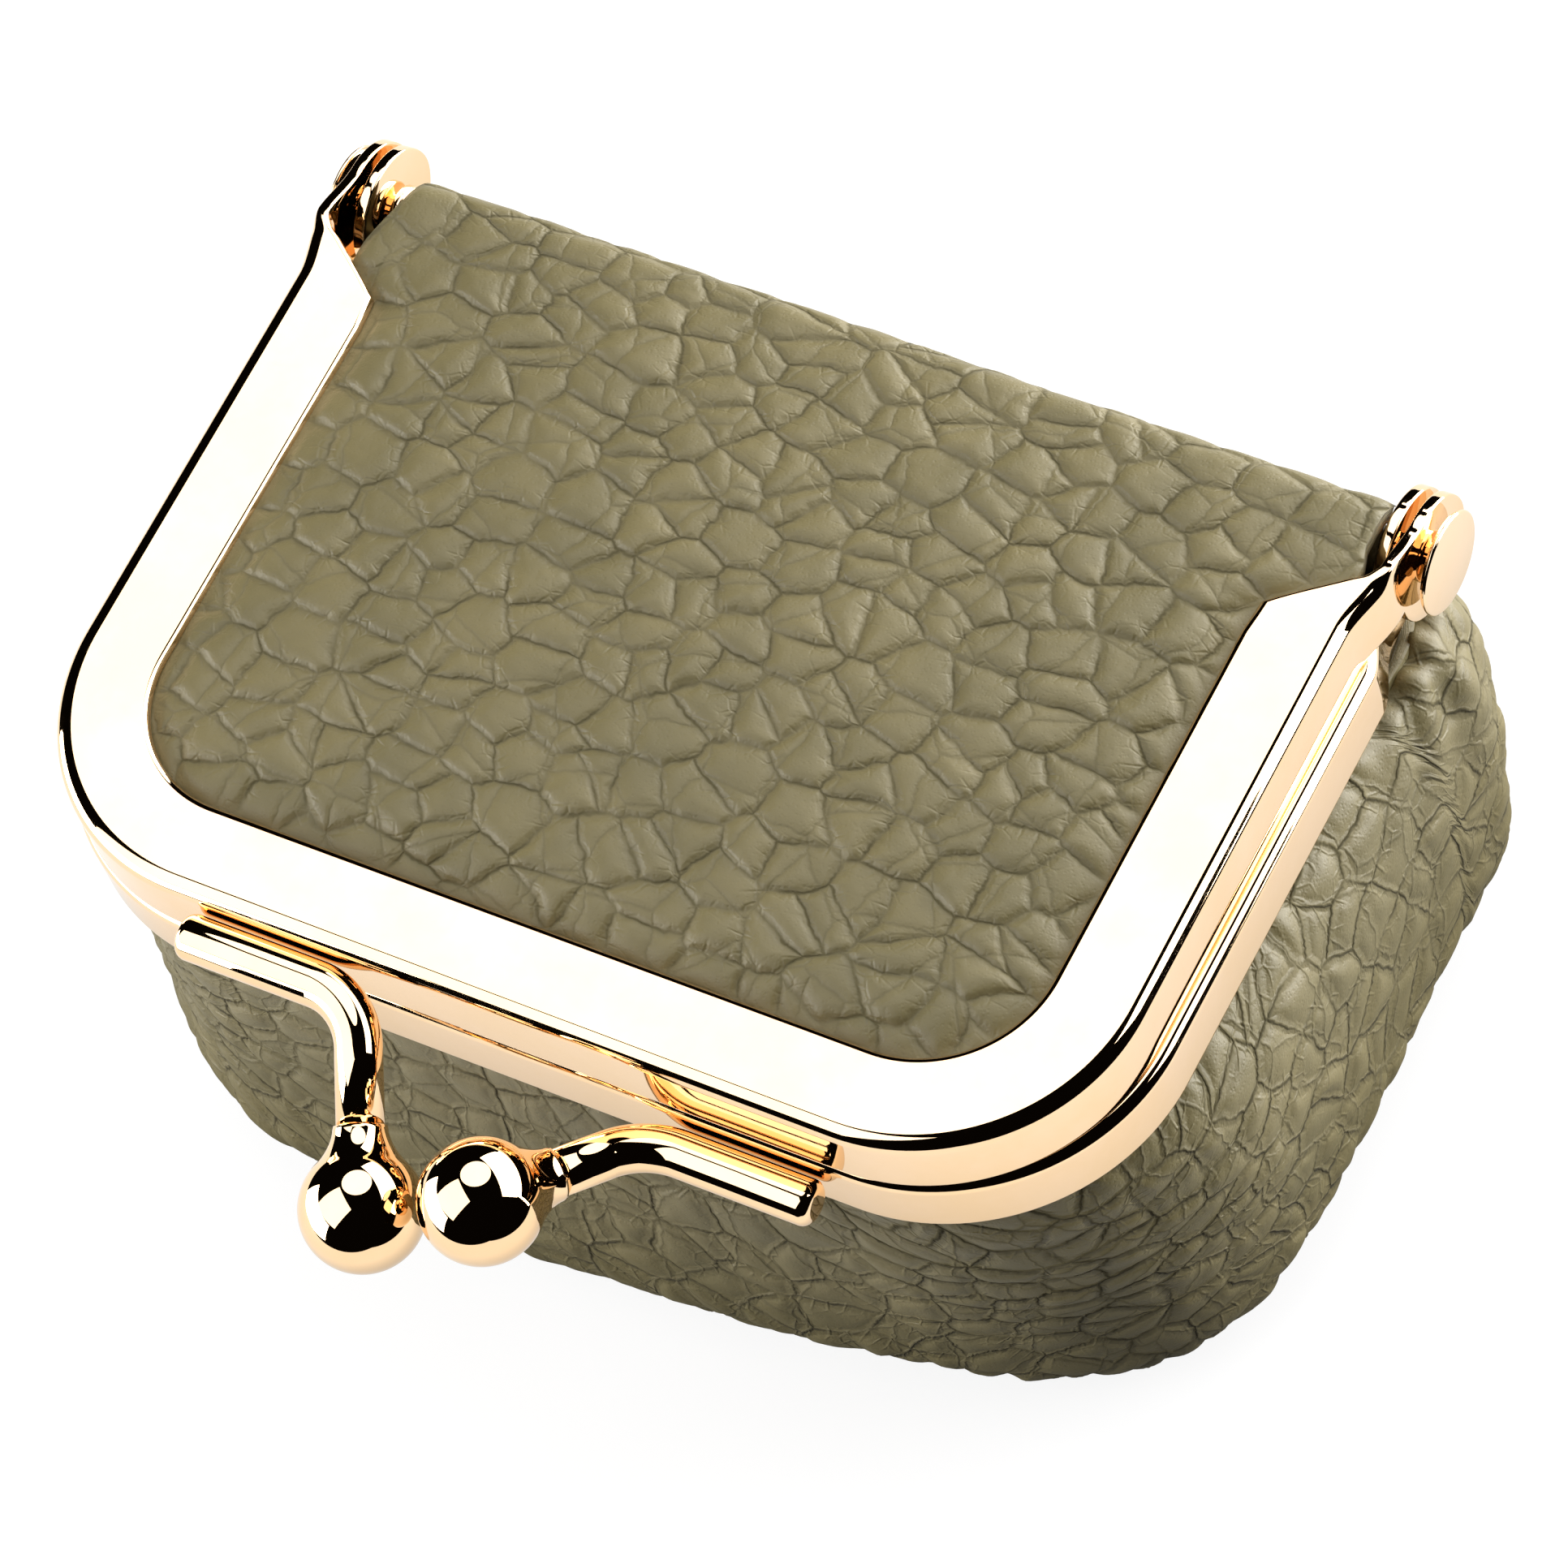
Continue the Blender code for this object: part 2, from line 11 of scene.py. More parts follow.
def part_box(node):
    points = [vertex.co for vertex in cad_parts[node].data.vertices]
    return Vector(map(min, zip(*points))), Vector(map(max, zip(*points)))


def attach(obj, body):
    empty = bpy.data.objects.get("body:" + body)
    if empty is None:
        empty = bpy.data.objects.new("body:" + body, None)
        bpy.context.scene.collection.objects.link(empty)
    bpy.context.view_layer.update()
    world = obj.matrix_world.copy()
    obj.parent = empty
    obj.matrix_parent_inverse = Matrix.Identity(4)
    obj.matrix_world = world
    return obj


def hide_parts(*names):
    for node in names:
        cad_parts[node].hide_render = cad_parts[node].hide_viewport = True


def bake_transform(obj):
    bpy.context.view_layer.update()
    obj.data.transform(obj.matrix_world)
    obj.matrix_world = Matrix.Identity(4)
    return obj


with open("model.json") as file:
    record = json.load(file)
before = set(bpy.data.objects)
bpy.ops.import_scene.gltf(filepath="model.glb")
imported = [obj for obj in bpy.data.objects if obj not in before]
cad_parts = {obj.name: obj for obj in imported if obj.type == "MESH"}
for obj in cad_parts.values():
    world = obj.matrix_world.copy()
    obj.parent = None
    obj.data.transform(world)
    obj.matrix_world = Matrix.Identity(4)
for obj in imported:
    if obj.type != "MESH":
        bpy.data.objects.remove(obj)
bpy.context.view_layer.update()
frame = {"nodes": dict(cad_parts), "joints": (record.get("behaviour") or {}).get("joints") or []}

# Places that the frame gives
hinge = Vector(frame["joints"][0]["pos_m"])
upper_low, upper_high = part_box("upper_frame")
lid_top = upper_high.z

# Sheet metal of the two rails, in metres
half_width = 0.0375
frame_depth = hinge.y - upper_low.y
corner_radius = 0.0143
sheet = 0.0008
rail_height = 0.0050
rail_gap = 0.0003
flange_width = 0.0061
web_width = 0.0046
upper_fillet = 0.0011
lower_fillet = 0.0008
side_step = 0.0008
front_step = 0.0001
shown_rail_gap = 0.0001
edge_round = 0.00015
lip_round = 0.0005
most_round_share = 0.45
plain_run_share = 0.1
rim_shares = (0.3, 0.7)
support = 0.0001

# Hinge
hinge_drop = lid_top - hinge.z
ear_radius = 0.0041
ear_gap = 0.0006
ear_spread = 0.0008
joggle_start = 0.0088
joggle_end = 0.0045
flange_cut_start = 0.0090
flange_cut_end = 0.0043
shank_radius = 0.0010
rivet_head_radius = 0.0034
rivet_shoulder_radius = 0.0017
rivet_shoulder_height = 0.0004
rivet_head_height = 0.0004
rivet_head_dome = 0.00012
rivet_head_edge = 0.00015
rivet_tail_radius = 0.0018
rivet_tail_height = 0.0006
rivet_gap = 0.0003

# Clasp
rod_radius = 0.0015
rod_end_round = 0.0007
arm_end_x = 0.0218
arm_bend_radius = 0.0045
upper_bend_x = 0.0092
lower_bend_x = 0.0098
upper_arm_drop = 0.0025
lower_arm_drop = 0.0076
ball_radius = 0.00395
ball_pass_gap = 0.0003
upper_ball_reach = 0.0125
lower_ball_reach = 0.0104
upper_ball_drop = 0.0069
lower_ball_drop = 0.0037
collar_radius = 0.0027
collar_length = 0.0011
collar_neck_radius = 0.0017
solder_gap = 0.0001

# Leather, lining and cords
seat_gap = 0.0003
leather = 0.0010
lining = 0.0005
board = 0.0009
cord_radius = 0.0005
lid_crown = 0.0007
lid_dome = 0.0019
lid_wave = 0.009
lid_wave_height = 0.00008
crown_slope = 0.0035
strip_half_width = 0.0346
strip_neck = 0.0015
neck_reach = 0.0050
strip_ear_gap = 0.0002
roll_radius = 0.0024
over_roll_share = 1.2
back_plane = 0.0011
back_swell = 0.0013
back_foot_height = 0.0050
side_swell = 0.0034
front_swell = 0.0013
front_corner_growth = 0.0038
base_edge_radius = 0.0075
back_corner_radius = 0.0062
rear_corner_share = 0.25
rear_rim_share = 0.2
body_girth = 0.246
foot_fade_share = 0.3
shoulder_length = 0.0018
mouth_back_rim_drop = 0.0107
skived_edge = 0.0030
skived_thickness = 0.0004
lining_girth = 0.235
puff_wave = 0.014
puff_height = 0.0004
puff_start = 0.004
lid_lining_puff = 0.0003
lid_puff_rings = (2, 8)
lid_lining_back = -0.0050
cord_lay = 0.0022
cord_plies = 2
cord_ply_depth = 0.35

# Pebble grain: sizes of the pebbles, of the creases between them and of the finer wrinkles
pebble_size = 0.0029
pebble_jitter = 0.9
pebble_stretch = 1.32
pebble_spread = 0.35
pebble_tilt = 0.6
# The body's creases show more: deeper bump relief and stronger painted shade in them
body_relief_and_crease_shade = 1.4
body_growth = 1.3
pebble_turn = math.radians(-5)
cross_size = 0.0044
cross_share = 0.34
cross_scale = (1.25, 0.75, 1)
cross_shift = (0.31, 0.17, 0)
warp_reach = 0.0060
warp_push = 0.0010
rough_reach = 0.0007
rough_push = 0.00018
lid_pillow = 0.00034
body_pillow = 0.00039
pillow_reach = 0.0012
rim_width = 0.00024
rim_depth = 0.00008
line_width = 0.00008
ridge_spread = 1.8
line_depth = 0.00006
patches_per_pebble = 0.9
weakest_crease = 0.15
wrinkle_size = 0.0010
wrinkle_width = 0.00007
wrinkle_depth = 0.00004
wrinkle_shift = (0.13, 0.41, 0)
corner_squeeze = 0.016
squeeze_sides = (0.012, 0.036)
squeeze_ahead = (0.024, 0.044)
squeeze_end = 0.032
seam_reach = 0.0020
roll_calm = 0.6
inner_grain = 0.3

# Finishes
# Painted shade: shares by which the leather's colour darkens in its creases and on their rims
crease_painted_shade = 0.5
rim_painted_shade = 0.22
leather_roughness = 0.46
crease_roughness = 0.45
skin_depth = 0.000035
fibre_depth = 0.00005
pore_share = 0.35
thread_over_share = 0.4

# Soft body: places (x, y from the hinge, drop) where it bulges or is drawn in, reach each way, and push
body_bulges = (
    ((-0.008, -0.051, 0.035), (0.019, 0.014, 0.015), 0.0014),
    ((0.028, -0.050, 0.035), (0.011, 0.014, 0.014), -0.0017),
    ((-0.034, -0.047, 0.023), (0.008, 0.010, 0.010), -0.0011),
    ((0.041, -0.030, 0.034), (0.008, 0.013, 0.010), 0.0004),
    ((0.038, 0.002, 0.015), (0.006, 0.006, 0.006), 0.0011),
)

# Folds of the stretched skin: gathers under the hinges, creases at the front corners, and slack
gather_back = 0.004
gather_sides = (0.031, 0.037)
gather_behind = (-0.020, -0.004)
gather_rays = 16
gather_reach = 0.009
gather_fade = 0.007
gather_height = 0.00022
gather_wave = 0.012
crease_sides = (0.022, 0.034)
crease_ahead = (0.026, 0.040)
crease_spacing = 0.0042
crease_drop = 0.017
crease_fade = 0.007
crease_height = 0.00013
crease_wave = 0.018
crease_wander = 1.6
slack_height = 0.00018
slack_wave = 0.021

# Seeds of the wandering values
lid_seed = 52
gather_seed = 60
crease_seed = 61
slack_seed = 62
puff_seed = 70

# Spacing of the surface grids
fine_grid = 0.00022
body_grid = 0.00034
strip_edge_grid = 0.0008
strip_back_grid = 0.00055
lining_grid = 0.0008
coarse_every = 6

# Tables of shares: of the walls' depth and swell, the rivet head's radius and the lining's outline
depth_shares = (0.00, 0.06, 0.14, 0.26, 0.40, 0.54, 0.66, 1.00)
side_swell_shares = (0.00, 0.38, 0.68, 0.90, 1.00, 0.98, 0.92, 0.86)
front_swell_shares = (0.00, 0.12, 0.27, 0.45, 0.70, 0.90, 1.00, 1.00)
back_depth_shares = (0.0, 0.08, 0.25, 0.50, 0.75, 1.0)
back_swell_shares = (0.2, 0.45, 0.85, 1.00, 0.80, 0.20)
rivet_head_shares = (0.9, 0.75, 0.6, 0.45, 0.3, 0.15, 0.03)
lid_lining_shares = (1, 1, 0.985, 0.96, 0.92, 0.86, 0.78, 0.68, 0.56, 0.42, 0.26, 0.1)

# Counts, and how the wandering values are made up
corner_steps = 40
front_stations = 8
side_stations = 12
fillet_steps = 10
edge_steps = 3
joggle_steps = 26
ear_steps = 40
round_steps = 96
ball_steps = 44
bend_steps = 28
rod_end_steps = 8
collar_steps = 10
rivet_edge_steps = 12
roll_steps = 24
back_steps = 40
plan_rear_steps = 24
plan_front_steps = 32
least_turn_rows = 6
lining_count = 300
lid_lining_steps = 24
cord_front_steps = 60
cord_corner_steps = 50
cord_side_steps = 80
wave_count = 6
wave_spread = (0.7, 1.5)
wave_sum = 3.5
tube_sides = 48

# Places that follow from the sizes. Heights are measured down from the top of the lid.
lower_top_drop = rail_height + rail_gap
lower_bottom_drop = lower_top_drop + rail_height - rail_gap
ball_x = ball_radius + ball_pass_gap / 2
upper_ear_shift = ear_spread
lower_ear_shift = upper_ear_shift - ear_gap - sheet - side_step
upper_ear_face = half_width + upper_ear_shift
lower_ear_inner = half_width + side_step + lower_ear_shift - sheet
skin_inset = sheet + seat_gap
bowl_top_drop = lower_top_drop + sheet + seat_gap
bowl_back = back_plane - leather - seat_gap
under_flange = sheet + seat_gap


def at(x, y, drop):
    """World point from a place given from the hinge axis (y) and down from the lid's top (drop)."""
    return Vector((x, hinge.y + y, lid_top - drop))


def world_points(x, y, drop):
    """The same for whole arrays."""
    x, y, drop = np.broadcast_arrays(x, y, drop)
    return np.stack([x, hinge.y + y, lid_top - drop], axis=-1)


def smooth_step(value, low, high):
    """0 up to low, 1 from high on, and a smooth rise between."""
    share = np.clip((value - low) / (high - low), 0, 1)
    return share * share * (3 - 2 * share)


def arc(cx, cy, radius, start, end, steps):
    """Points on an arc, both ends included. Angles are in quarter turns."""
    points = []
    for i in range(steps + 1):
        angle = math.radians(90) * (start + (end - start) * i / steps)
        points.append((cx + radius * math.cos(angle), cy + radius * math.sin(angle)))
    return points


def eased_table(value, places, heights):
    """Smooth curve through a table, by cubic pieces between its points."""
    places = np.array(places)
    heights = np.array(heights)
    slopes = np.gradient(heights, places)
    value = np.clip(value, places[0], places[-1])
    i = np.clip(np.searchsorted(places, value, side="right") - 1, 0, len(places) - 2)
    width = places[i + 1] - places[i]
    t = (value - places[i]) / width
    return (heights[i] * (1 + 2 * t) * (1 - t) ** 2 + slopes[i] * width * t * (1 - t) ** 2
            + heights[i + 1] * t * t * (3 - 2 * t) + slopes[i + 1] * width * t * t * (t - 1))


def run_lengths(line):
    """Length along a line, at each of its points."""
    return np.concatenate([[0], np.cumsum(np.linalg.norm(np.diff(line, axis=0), axis=1))])


def both_sides(right):
    """Whole line in plan from its right half, which starts in the middle of the front."""
    return [(-x, y) for x, y in reversed(right[1:])] + right


def unit(vectors):
    return vectors / np.maximum(np.linalg.norm(vectors, axis=-1, keepdims=True), 1e-12)


# Meshes


def add_object(name, data):
    """New object in the scene, for a mesh, a lamp or the camera."""
    thing = bpy.data.objects.new(name, data)
    bpy.context.scene.collection.objects.link(thing)
    return thing


def piece(name, points, faces, finish, body, stands_for):
    """Smooth-shaded mesh that stands for its CAD nodes. It rides on a body, if one is given."""
    mesh = bpy.data.meshes.new(name)
    mesh.from_pydata([tuple(p) for p in points], [], faces)
    mesh.validate()
    mesh.materials.append(finish)
    mesh.shade_smooth()
    thing = add_object(name, mesh)
    if body is not None:
        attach(thing, body)
    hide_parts(*stands_for)
    return thing


def ring_faces(rings, count):
    """Faces of a run of closed rings of points, with a cap at each end."""
    faces = []
    for r in range(rings - 1):
        for i in range(count):
            j = (i + 1) % count
            faces.append((r * count + i, r * count + j, (r + 1) * count + j, (r + 1) * count + i))
    faces.append(tuple(reversed(range(count))))
    faces.append(tuple(range((rings - 1) * count, rings * count)))
    return faces


def turned_points(profile, origin, axis):
    """Points and faces of a solid of revolution. The profile holds (radius, distance along the axis)."""
    turn = Vector((0, 0, 1)).rotation_difference(axis).to_matrix()
    points = []
    for radius, along in profile:
        for i in range(round_steps):
            angle = math.tau * i / round_steps
            spot = Vector((radius * math.cos(angle), radius * math.sin(angle), along))
            points.append(origin + turn @ spot)
    return points, ring_faces(len(profile), round_steps)


def tube_points(line, radii, twist=0.0, plies=0, ply_depth=0.0):
    """Points and faces of a round bar along a line. Plies make it a twisted cord."""
    line = [Vector(p) for p in line]
    points = []
    along = (line[1] - line[0]).normalized()
    side = along.orthogonal().normalized()
    travelled = 0.0
    for i, (spot, radius) in enumerate(zip(line, radii)):
        before = line[max(i - 1, 0)]
        after = line[min(i + 1, len(line) - 1)]
        along = (after - before).normalized()
        side = (side - along * side.dot(along)).normalized()
        other = along.cross(side)
        travelled += (spot - before).length
        for k in range(tube_sides):
            angle = math.tau * k / tube_sides
            reach = radius
            if plies:
                reach *= 1 - ply_depth * (1 - abs(math.cos((angle * plies + twist * travelled) / 2)))
            points.append(spot + side * (reach * math.cos(angle)) + other * (reach * math.sin(angle)))
    return points, ring_faces(len(line), tube_sides)


# Materials


def new_node(tree, kind, **settings):
    made = tree.nodes.new(kind)
    for key, value in settings.items():
        setattr(made, key, value)
    return made


def feed(tree, socket, source):
    """Links a socket to another, or sets its value."""
    if isinstance(source, bpy.types.NodeSocket):
        tree.links.new(source, socket)
    else:
        socket.default_value = source


def math_node(tree, operation, *inputs):
    made = new_node(tree, "ShaderNodeMath", operation=operation)
    for socket, source in zip(made.inputs, inputs):
        feed(tree, socket, source)
    return made.outputs[0]


def product(tree, *factors):
    total = factors[0]
    for factor in factors[1:]:
        total = math_node(tree, "MULTIPLY", total, factor)
    return total


def split(tree, vector):
    """The three parts of a vector."""
    made = new_node(tree, "ShaderNodeSeparateXYZ")
    feed(tree, made.inputs[0], vector)
    return made.outputs


def object_place(tree):
    return new_node(tree, "ShaderNodeTexCoord").outputs["Object"]


def mix_colour(tree, factor, first, second):
    made = new_node(tree, "ShaderNodeMix", data_type="RGBA")
    feed(tree, made.inputs["Factor"], factor)
    feed(tree, made.inputs[6], first)
    feed(tree, made.inputs[7], second)
    return made.outputs[2]


def noise_node(tree, vector, scale, detail=2.0, roughness=0.5, output="Fac"):
    made = new_node(tree, "ShaderNodeTexNoise")
    feed(tree, made.inputs["Vector"], vector)
    feed(tree, made.inputs["Scale"], scale)
    feed(tree, made.inputs["Detail"], detail)
    feed(tree, made.inputs["Roughness"], roughness)
    return made.outputs[output]


def ramp(tree, source, low, high):
    """Source stretched so that low becomes 0 and high becomes 1."""
    made = new_node(tree, "ShaderNodeMapRange", interpolation_type="SMOOTHSTEP")
    feed(tree, made.inputs["Value"], source)
    feed(tree, made.inputs["From Min"], low)
    feed(tree, made.inputs["From Max"], high)
    return made.outputs["Result"]


def new_group(name, inputs, outputs):
    """Node group with float or colour sockets. Returns the tree, its inputs and its outputs."""
    tree = bpy.data.node_groups.new(name, "ShaderNodeTree")
    kinds = {float: "NodeSocketFloat", tuple: "NodeSocketColor"}
    for socket, value in inputs:
        made = tree.interface.new_socket(socket, in_out="INPUT", socket_type=kinds[type(value)])
        made.default_value = value
    for socket, kind in outputs:
        tree.interface.new_socket(socket, in_out="OUTPUT", socket_type=kinds[kind])
    entry = tree.nodes.new("NodeGroupInput")
    leave = tree.nodes.new("NodeGroupOutput")
    return tree, entry.outputs, leave.inputs


def use_group(tree, group, **values):
    """Places a group with its own values and returns its outputs. An underscore stands for a space."""
    made = new_node(tree, "ShaderNodeGroup", node_tree=group)
    for key, value in values.items():
        feed(tree, made.inputs[key.replace("_", " ")], value)
    return made.outputs


def vector_math(tree, operation, first, second):
    made = new_node(tree, "ShaderNodeVectorMath", operation=operation)
    feed(tree, made.inputs[0], first)
    feed(tree, made.inputs[3 if operation == "SCALE" else 1], second)
    return made.outputs[0]


def warped(tree, place, reach, push):
    """Place pushed about by soft noise, so that lines laid over it wander."""
    noise = noise_node(tree, place, 1 / reach, output="Color")
    centred = vector_math(tree, "SUBTRACT", noise, (0.5, 0.5, 0.5))
    return vector_math(tree, "ADD", place, vector_math(tree, "SCALE", centred, push * 2))


def pebble_cells(tree, feature, place, size):
    """Cells of a size in the plane of the grain."""
    made = new_node(tree, "ShaderNodeTexVoronoi", feature=feature, voronoi_dimensions="2D")
    feed(tree, made.inputs["Vector"], place)
    feed(tree, made.inputs["Scale"], 1 / size)
    feed(tree, made.inputs["Randomness"], pebble_jitter)
    return made.outputs


def border_distance(tree, place, size):
    """Distance in metres to the nearest border between cells of a size."""
    return product(tree, pebble_cells(tree, "DISTANCE_TO_EDGE", place, size)["Distance"], size)


def ridge_line(tree, distance, width):
    """1 on a line and 0 away from it."""
    return ramp(tree, distance, width * ridge_spread, 0.0)


def dome(tree, distance, reach):
    """0 on a line, rounding up to 1 at a reach from it."""
    share = math_node(tree, "MINIMUM", math_node(tree, "DIVIDE", distance, reach), 1.0)
    return product(tree, share, math_node(tree, "SUBTRACT", 2.0, share))


def bent_place(tree, place):
    """Place in the grain with the wandering and the raggedness of its creases."""
    return warped(tree, warped(tree, place, warp_reach, warp_push), rough_reach, rough_push)


def crease_distances(tree, bent):
    """Distances to the nearest crease between pebbles and to the nearest fainter one that crosses them."""
    crossed = vector_math(tree, "ADD", vector_math(tree, "MULTIPLY", bent, cross_scale), cross_shift)
    return border_distance(tree, bent, pebble_size), border_distance(tree, crossed, cross_size)


def pillow_nodes(tree, place):
    """Roundness of the pebbles, 0 in a crease. Each has its own height and rises a little to one side."""
    bent = bent_place(tree, place)
    edge, cross = crease_distances(tree, bent)
    crossed = math_node(tree, "MULTIPLY_ADD", dome(tree, cross, pillow_reach), cross_share, 1 - cross_share)
    cells = pebble_cells(tree, "F1", bent, pebble_size)
    own = split(tree, cells["Color"])
    aside = split(tree, vector_math(tree, "SUBTRACT", cells["Position"], bent))
    height = math_node(tree, "MULTIPLY_ADD", own[0], pebble_spread, 1 - pebble_spread)
    height = math_node(tree, "MULTIPLY_ADD", aside[1], pebble_tilt / pebble_size, height)
    return product(tree, dome(tree, edge, pillow_reach), crossed, height)


def build_mottle():
    """Soft cloudy change between two colours."""
    inputs = (("Light", (1.0, 1.0, 1.0, 1.0)), ("Dark", (0.0, 0.0, 0.0, 1.0)), ("Scale", 100.0))
    tree, given, result = new_group("mottle", inputs, (("Colour", tuple),))
    cloud = noise_node(tree, object_place(tree), given["Scale"], detail=4.0, roughness=0.6)
    cloud = ramp(tree, cloud, low=0.3, high=0.7)
    feed(tree, result["Colour"], mix_colour(tree, cloud, given["Dark"], given["Light"]))
    return tree


def build_polish():
    """Faint waves and wipe marks of polished, plated metal."""
    tree, given, result = new_group("polish", (("Wave Scale", 100.0), ("Smooth", 0.05), ("Rubbed", 0.15)),
                                    (("Roughness", float), ("Height", float)))
    place = object_place(tree)
    marks = noise_node(tree, place, scale=900.0, detail=4.0, roughness=0.65)
    marks = ramp(tree, marks, low=0.45, high=0.8)
    rubbing = math_node(tree, "SUBTRACT", given["Rubbed"], given["Smooth"])
    feed(tree, result["Roughness"], math_node(tree, "MULTIPLY_ADD", marks, rubbing, given["Smooth"]))
    feed(tree, result["Height"], noise_node(tree, place, given["Wave Scale"], detail=1.0, roughness=0.4))
    return tree


def build_pores():
    """Fine skin: tiny pores and hair-fine wrinkles, as a height."""
    tree, given, result = new_group("pores", (("Pore Scale", 2500.0), ("Wrinkle Scale", 900.0)),
                                    (("Height", float),))
    place = object_place(tree)
    pore = new_node(tree, "ShaderNodeTexVoronoi", feature="F1")
    feed(tree, pore.inputs["Vector"], place)
    feed(tree, pore.inputs["Scale"], given["Pore Scale"])
    pits = ramp(tree, pore.outputs["Distance"], low=0.0, high=0.5)
    wrinkle = noise_node(tree, place, given["Wrinkle Scale"], detail=5.0, roughness=0.65)
    feed(tree, result["Height"], math_node(tree, "MULTIPLY_ADD", pits, pore_share, wrinkle))
    return tree


def build_pebbles():
    """Creases round the pebbles and finer wrinkles on them, as a height in metres and a mask."""
    sizes = (("Crease Depth", 0.0001), ("Rim Depth", 0.00004), ("Wrinkle Depth", 0.00005))
    tree, given, result = new_group("pebbles", sizes, (("Height", float), ("Crease", float)))
    place = new_node(tree, "ShaderNodeAttribute", attribute_name="grain_place").outputs["Vector"]
    shown = new_node(tree, "ShaderNodeAttribute", attribute_name="grain_shown").outputs["Fac"]
    edge, cross = crease_distances(tree, bent_place(tree, place))
    strength = noise_node(tree, place, patches_per_pebble / pebble_size, detail=3.0)
    strength = ramp(tree, strength, low=0.36, high=0.62)
    strength = math_node(tree, "MULTIPLY_ADD", strength, 1 - weakest_crease, weakest_crease)
    main = product(tree, ridge_line(tree, edge, line_width), strength)
    faint = product(tree, ridge_line(tree, cross, line_width), cross_share)
    crease = product(tree, math_node(tree, "MAXIMUM", main, faint), shown)
    faint = product(tree, ridge_line(tree, cross, rim_width), cross_share)
    rim = product(tree, math_node(tree, "MAXIMUM", ridge_line(tree, edge, rim_width), faint), shown)
    shifted = warped(tree, vector_math(tree, "ADD", place, wrinkle_shift), warp_reach / 2, warp_push / 3)
    finer = ridge_line(tree, border_distance(tree, shifted, wrinkle_size), wrinkle_width)
    patchy = ramp(tree, noise_node(tree, shifted, 1 / pebble_size), low=0.38, high=0.62)
    patchy = product(tree, patchy, ramp(tree, edge, pillow_reach, 0.0))
    height = product(tree, crease, given["Crease Depth"])
    height = math_node(tree, "MULTIPLY_ADD", rim, given["Rim Depth"], height)
    finer = product(tree, finer, patchy, shown)
    height = math_node(tree, "MULTIPLY_ADD", finer, given["Wrinkle Depth"], height)
    feed(tree, result["Height"], product(tree, height, -1.0))
    # The crease mask, with a share of the rims, also darkens the leather's colour as painted shade
    feed(tree, result["Crease"], math_node(tree, "MULTIPLY_ADD", rim, rim_painted_shade, crease))
    return tree


def build_weave():
    """Plain weave of fine threads, from the cloth's own coordinates in metres."""
    tree, given, result = new_group("weave", (("Thread", 0.0003),), (("Height", float), ("Gap", float)))
    place = split(tree, new_node(tree, "ShaderNodeTexCoord").outputs["UV"])
    rate = math_node(tree, "DIVIDE", math.pi, given["Thread"])
    warp = math_node(tree, "SINE", product(tree, place[0], rate))
    weft = math_node(tree, "SINE", product(tree, place[1], rate))
    round_warp = math_node(tree, "ABSOLUTE", warp)
    round_weft = math_node(tree, "ABSOLUTE", weft)
    thread = math_node(tree, "MAXIMUM", round_warp, round_weft)
    over = product(tree, warp, weft)
    feed(tree, result["Height"], math_node(tree, "MULTIPLY_ADD", over, thread_over_share, thread))
    covered = math_node(tree, "ADD", round_warp, round_weft)
    feed(tree, result["Gap"], ramp(tree, covered, low=1.1, high=0.4))
    return tree


mottle = build_mottle()
polish = build_polish()
pores = build_pores()
pebbles = build_pebbles()
weave = build_weave()


def new_material(name):
    made = bpy.data.materials.new(name)
    made.use_nodes = True
    tree = made.node_tree
    return made, tree, tree.nodes["Principled BSDF"]


def toned_material(name, light, dark, scale):
    """New material that takes its colour from the mottle group."""
    made, tree, shader = new_material(name)
    tone = use_group(tree, mottle, Light=light, Dark=dark, Scale=scale)["Colour"]
    feed(tree, shader.inputs["Base Color"], tone)
    return made, tree, shader, tone


def bump(tree, shader, height, distance):
    made = new_node(tree, "ShaderNodeBump")
    feed(tree, made.inputs["Height"], height)
    feed(tree, made.inputs["Distance"], distance)
    feed(tree, shader.inputs["Normal"], made.outputs["Normal"])


def gold_finish(name, light, dark, smooth, rubbed, wave_scale, wave_height):
    """Mirror-polished rose-gold plating."""
    made, tree, shader, _ = toned_material(name, light, dark, scale=140.0)
    shader.inputs["Metallic"].default_value = 1.0
    marks = use_group(tree, polish, Wave_Scale=wave_scale, Smooth=smooth, Rubbed=rubbed)
    feed(tree, shader.inputs["Roughness"], marks["Roughness"])
    bump(tree, shader, marks["Height"], wave_height)
    return made


def leather_finish(name, light, dark, crease_shade_colour):
    """Olive pebbled leather, duller in its creases, with painted shade darkening them."""
    made, tree, shader, tone = toned_material(name, light, dark, scale=160.0)
    grained = use_group(tree, pebbles, Crease_Depth=line_depth, Rim_Depth=rim_depth,
                        Wrinkle_Depth=wrinkle_depth)
    crease = grained["Crease"]
    # Painted shade: the colour darkens towards the crease shade colour in the creases and on their rims
    tinted = mix_colour(tree, product(tree, crease, crease_painted_shade), tone, crease_shade_colour)
    feed(tree, shader.inputs["Base Color"], tinted)
    feed(tree, shader.inputs["Roughness"],
         math_node(tree, "MULTIPLY_ADD", crease, crease_roughness, leather_roughness))
    shader.inputs["Specular IOR Level"].default_value = 0.42
    skin = use_group(tree, pores, Pore_Scale=3600.0, Wrinkle_Scale=1500.0)
    height = math_node(tree, "MULTIPLY_ADD", skin["Height"], skin_depth, grained["Height"])
    bump(tree, shader, height, 1.0)
    return made


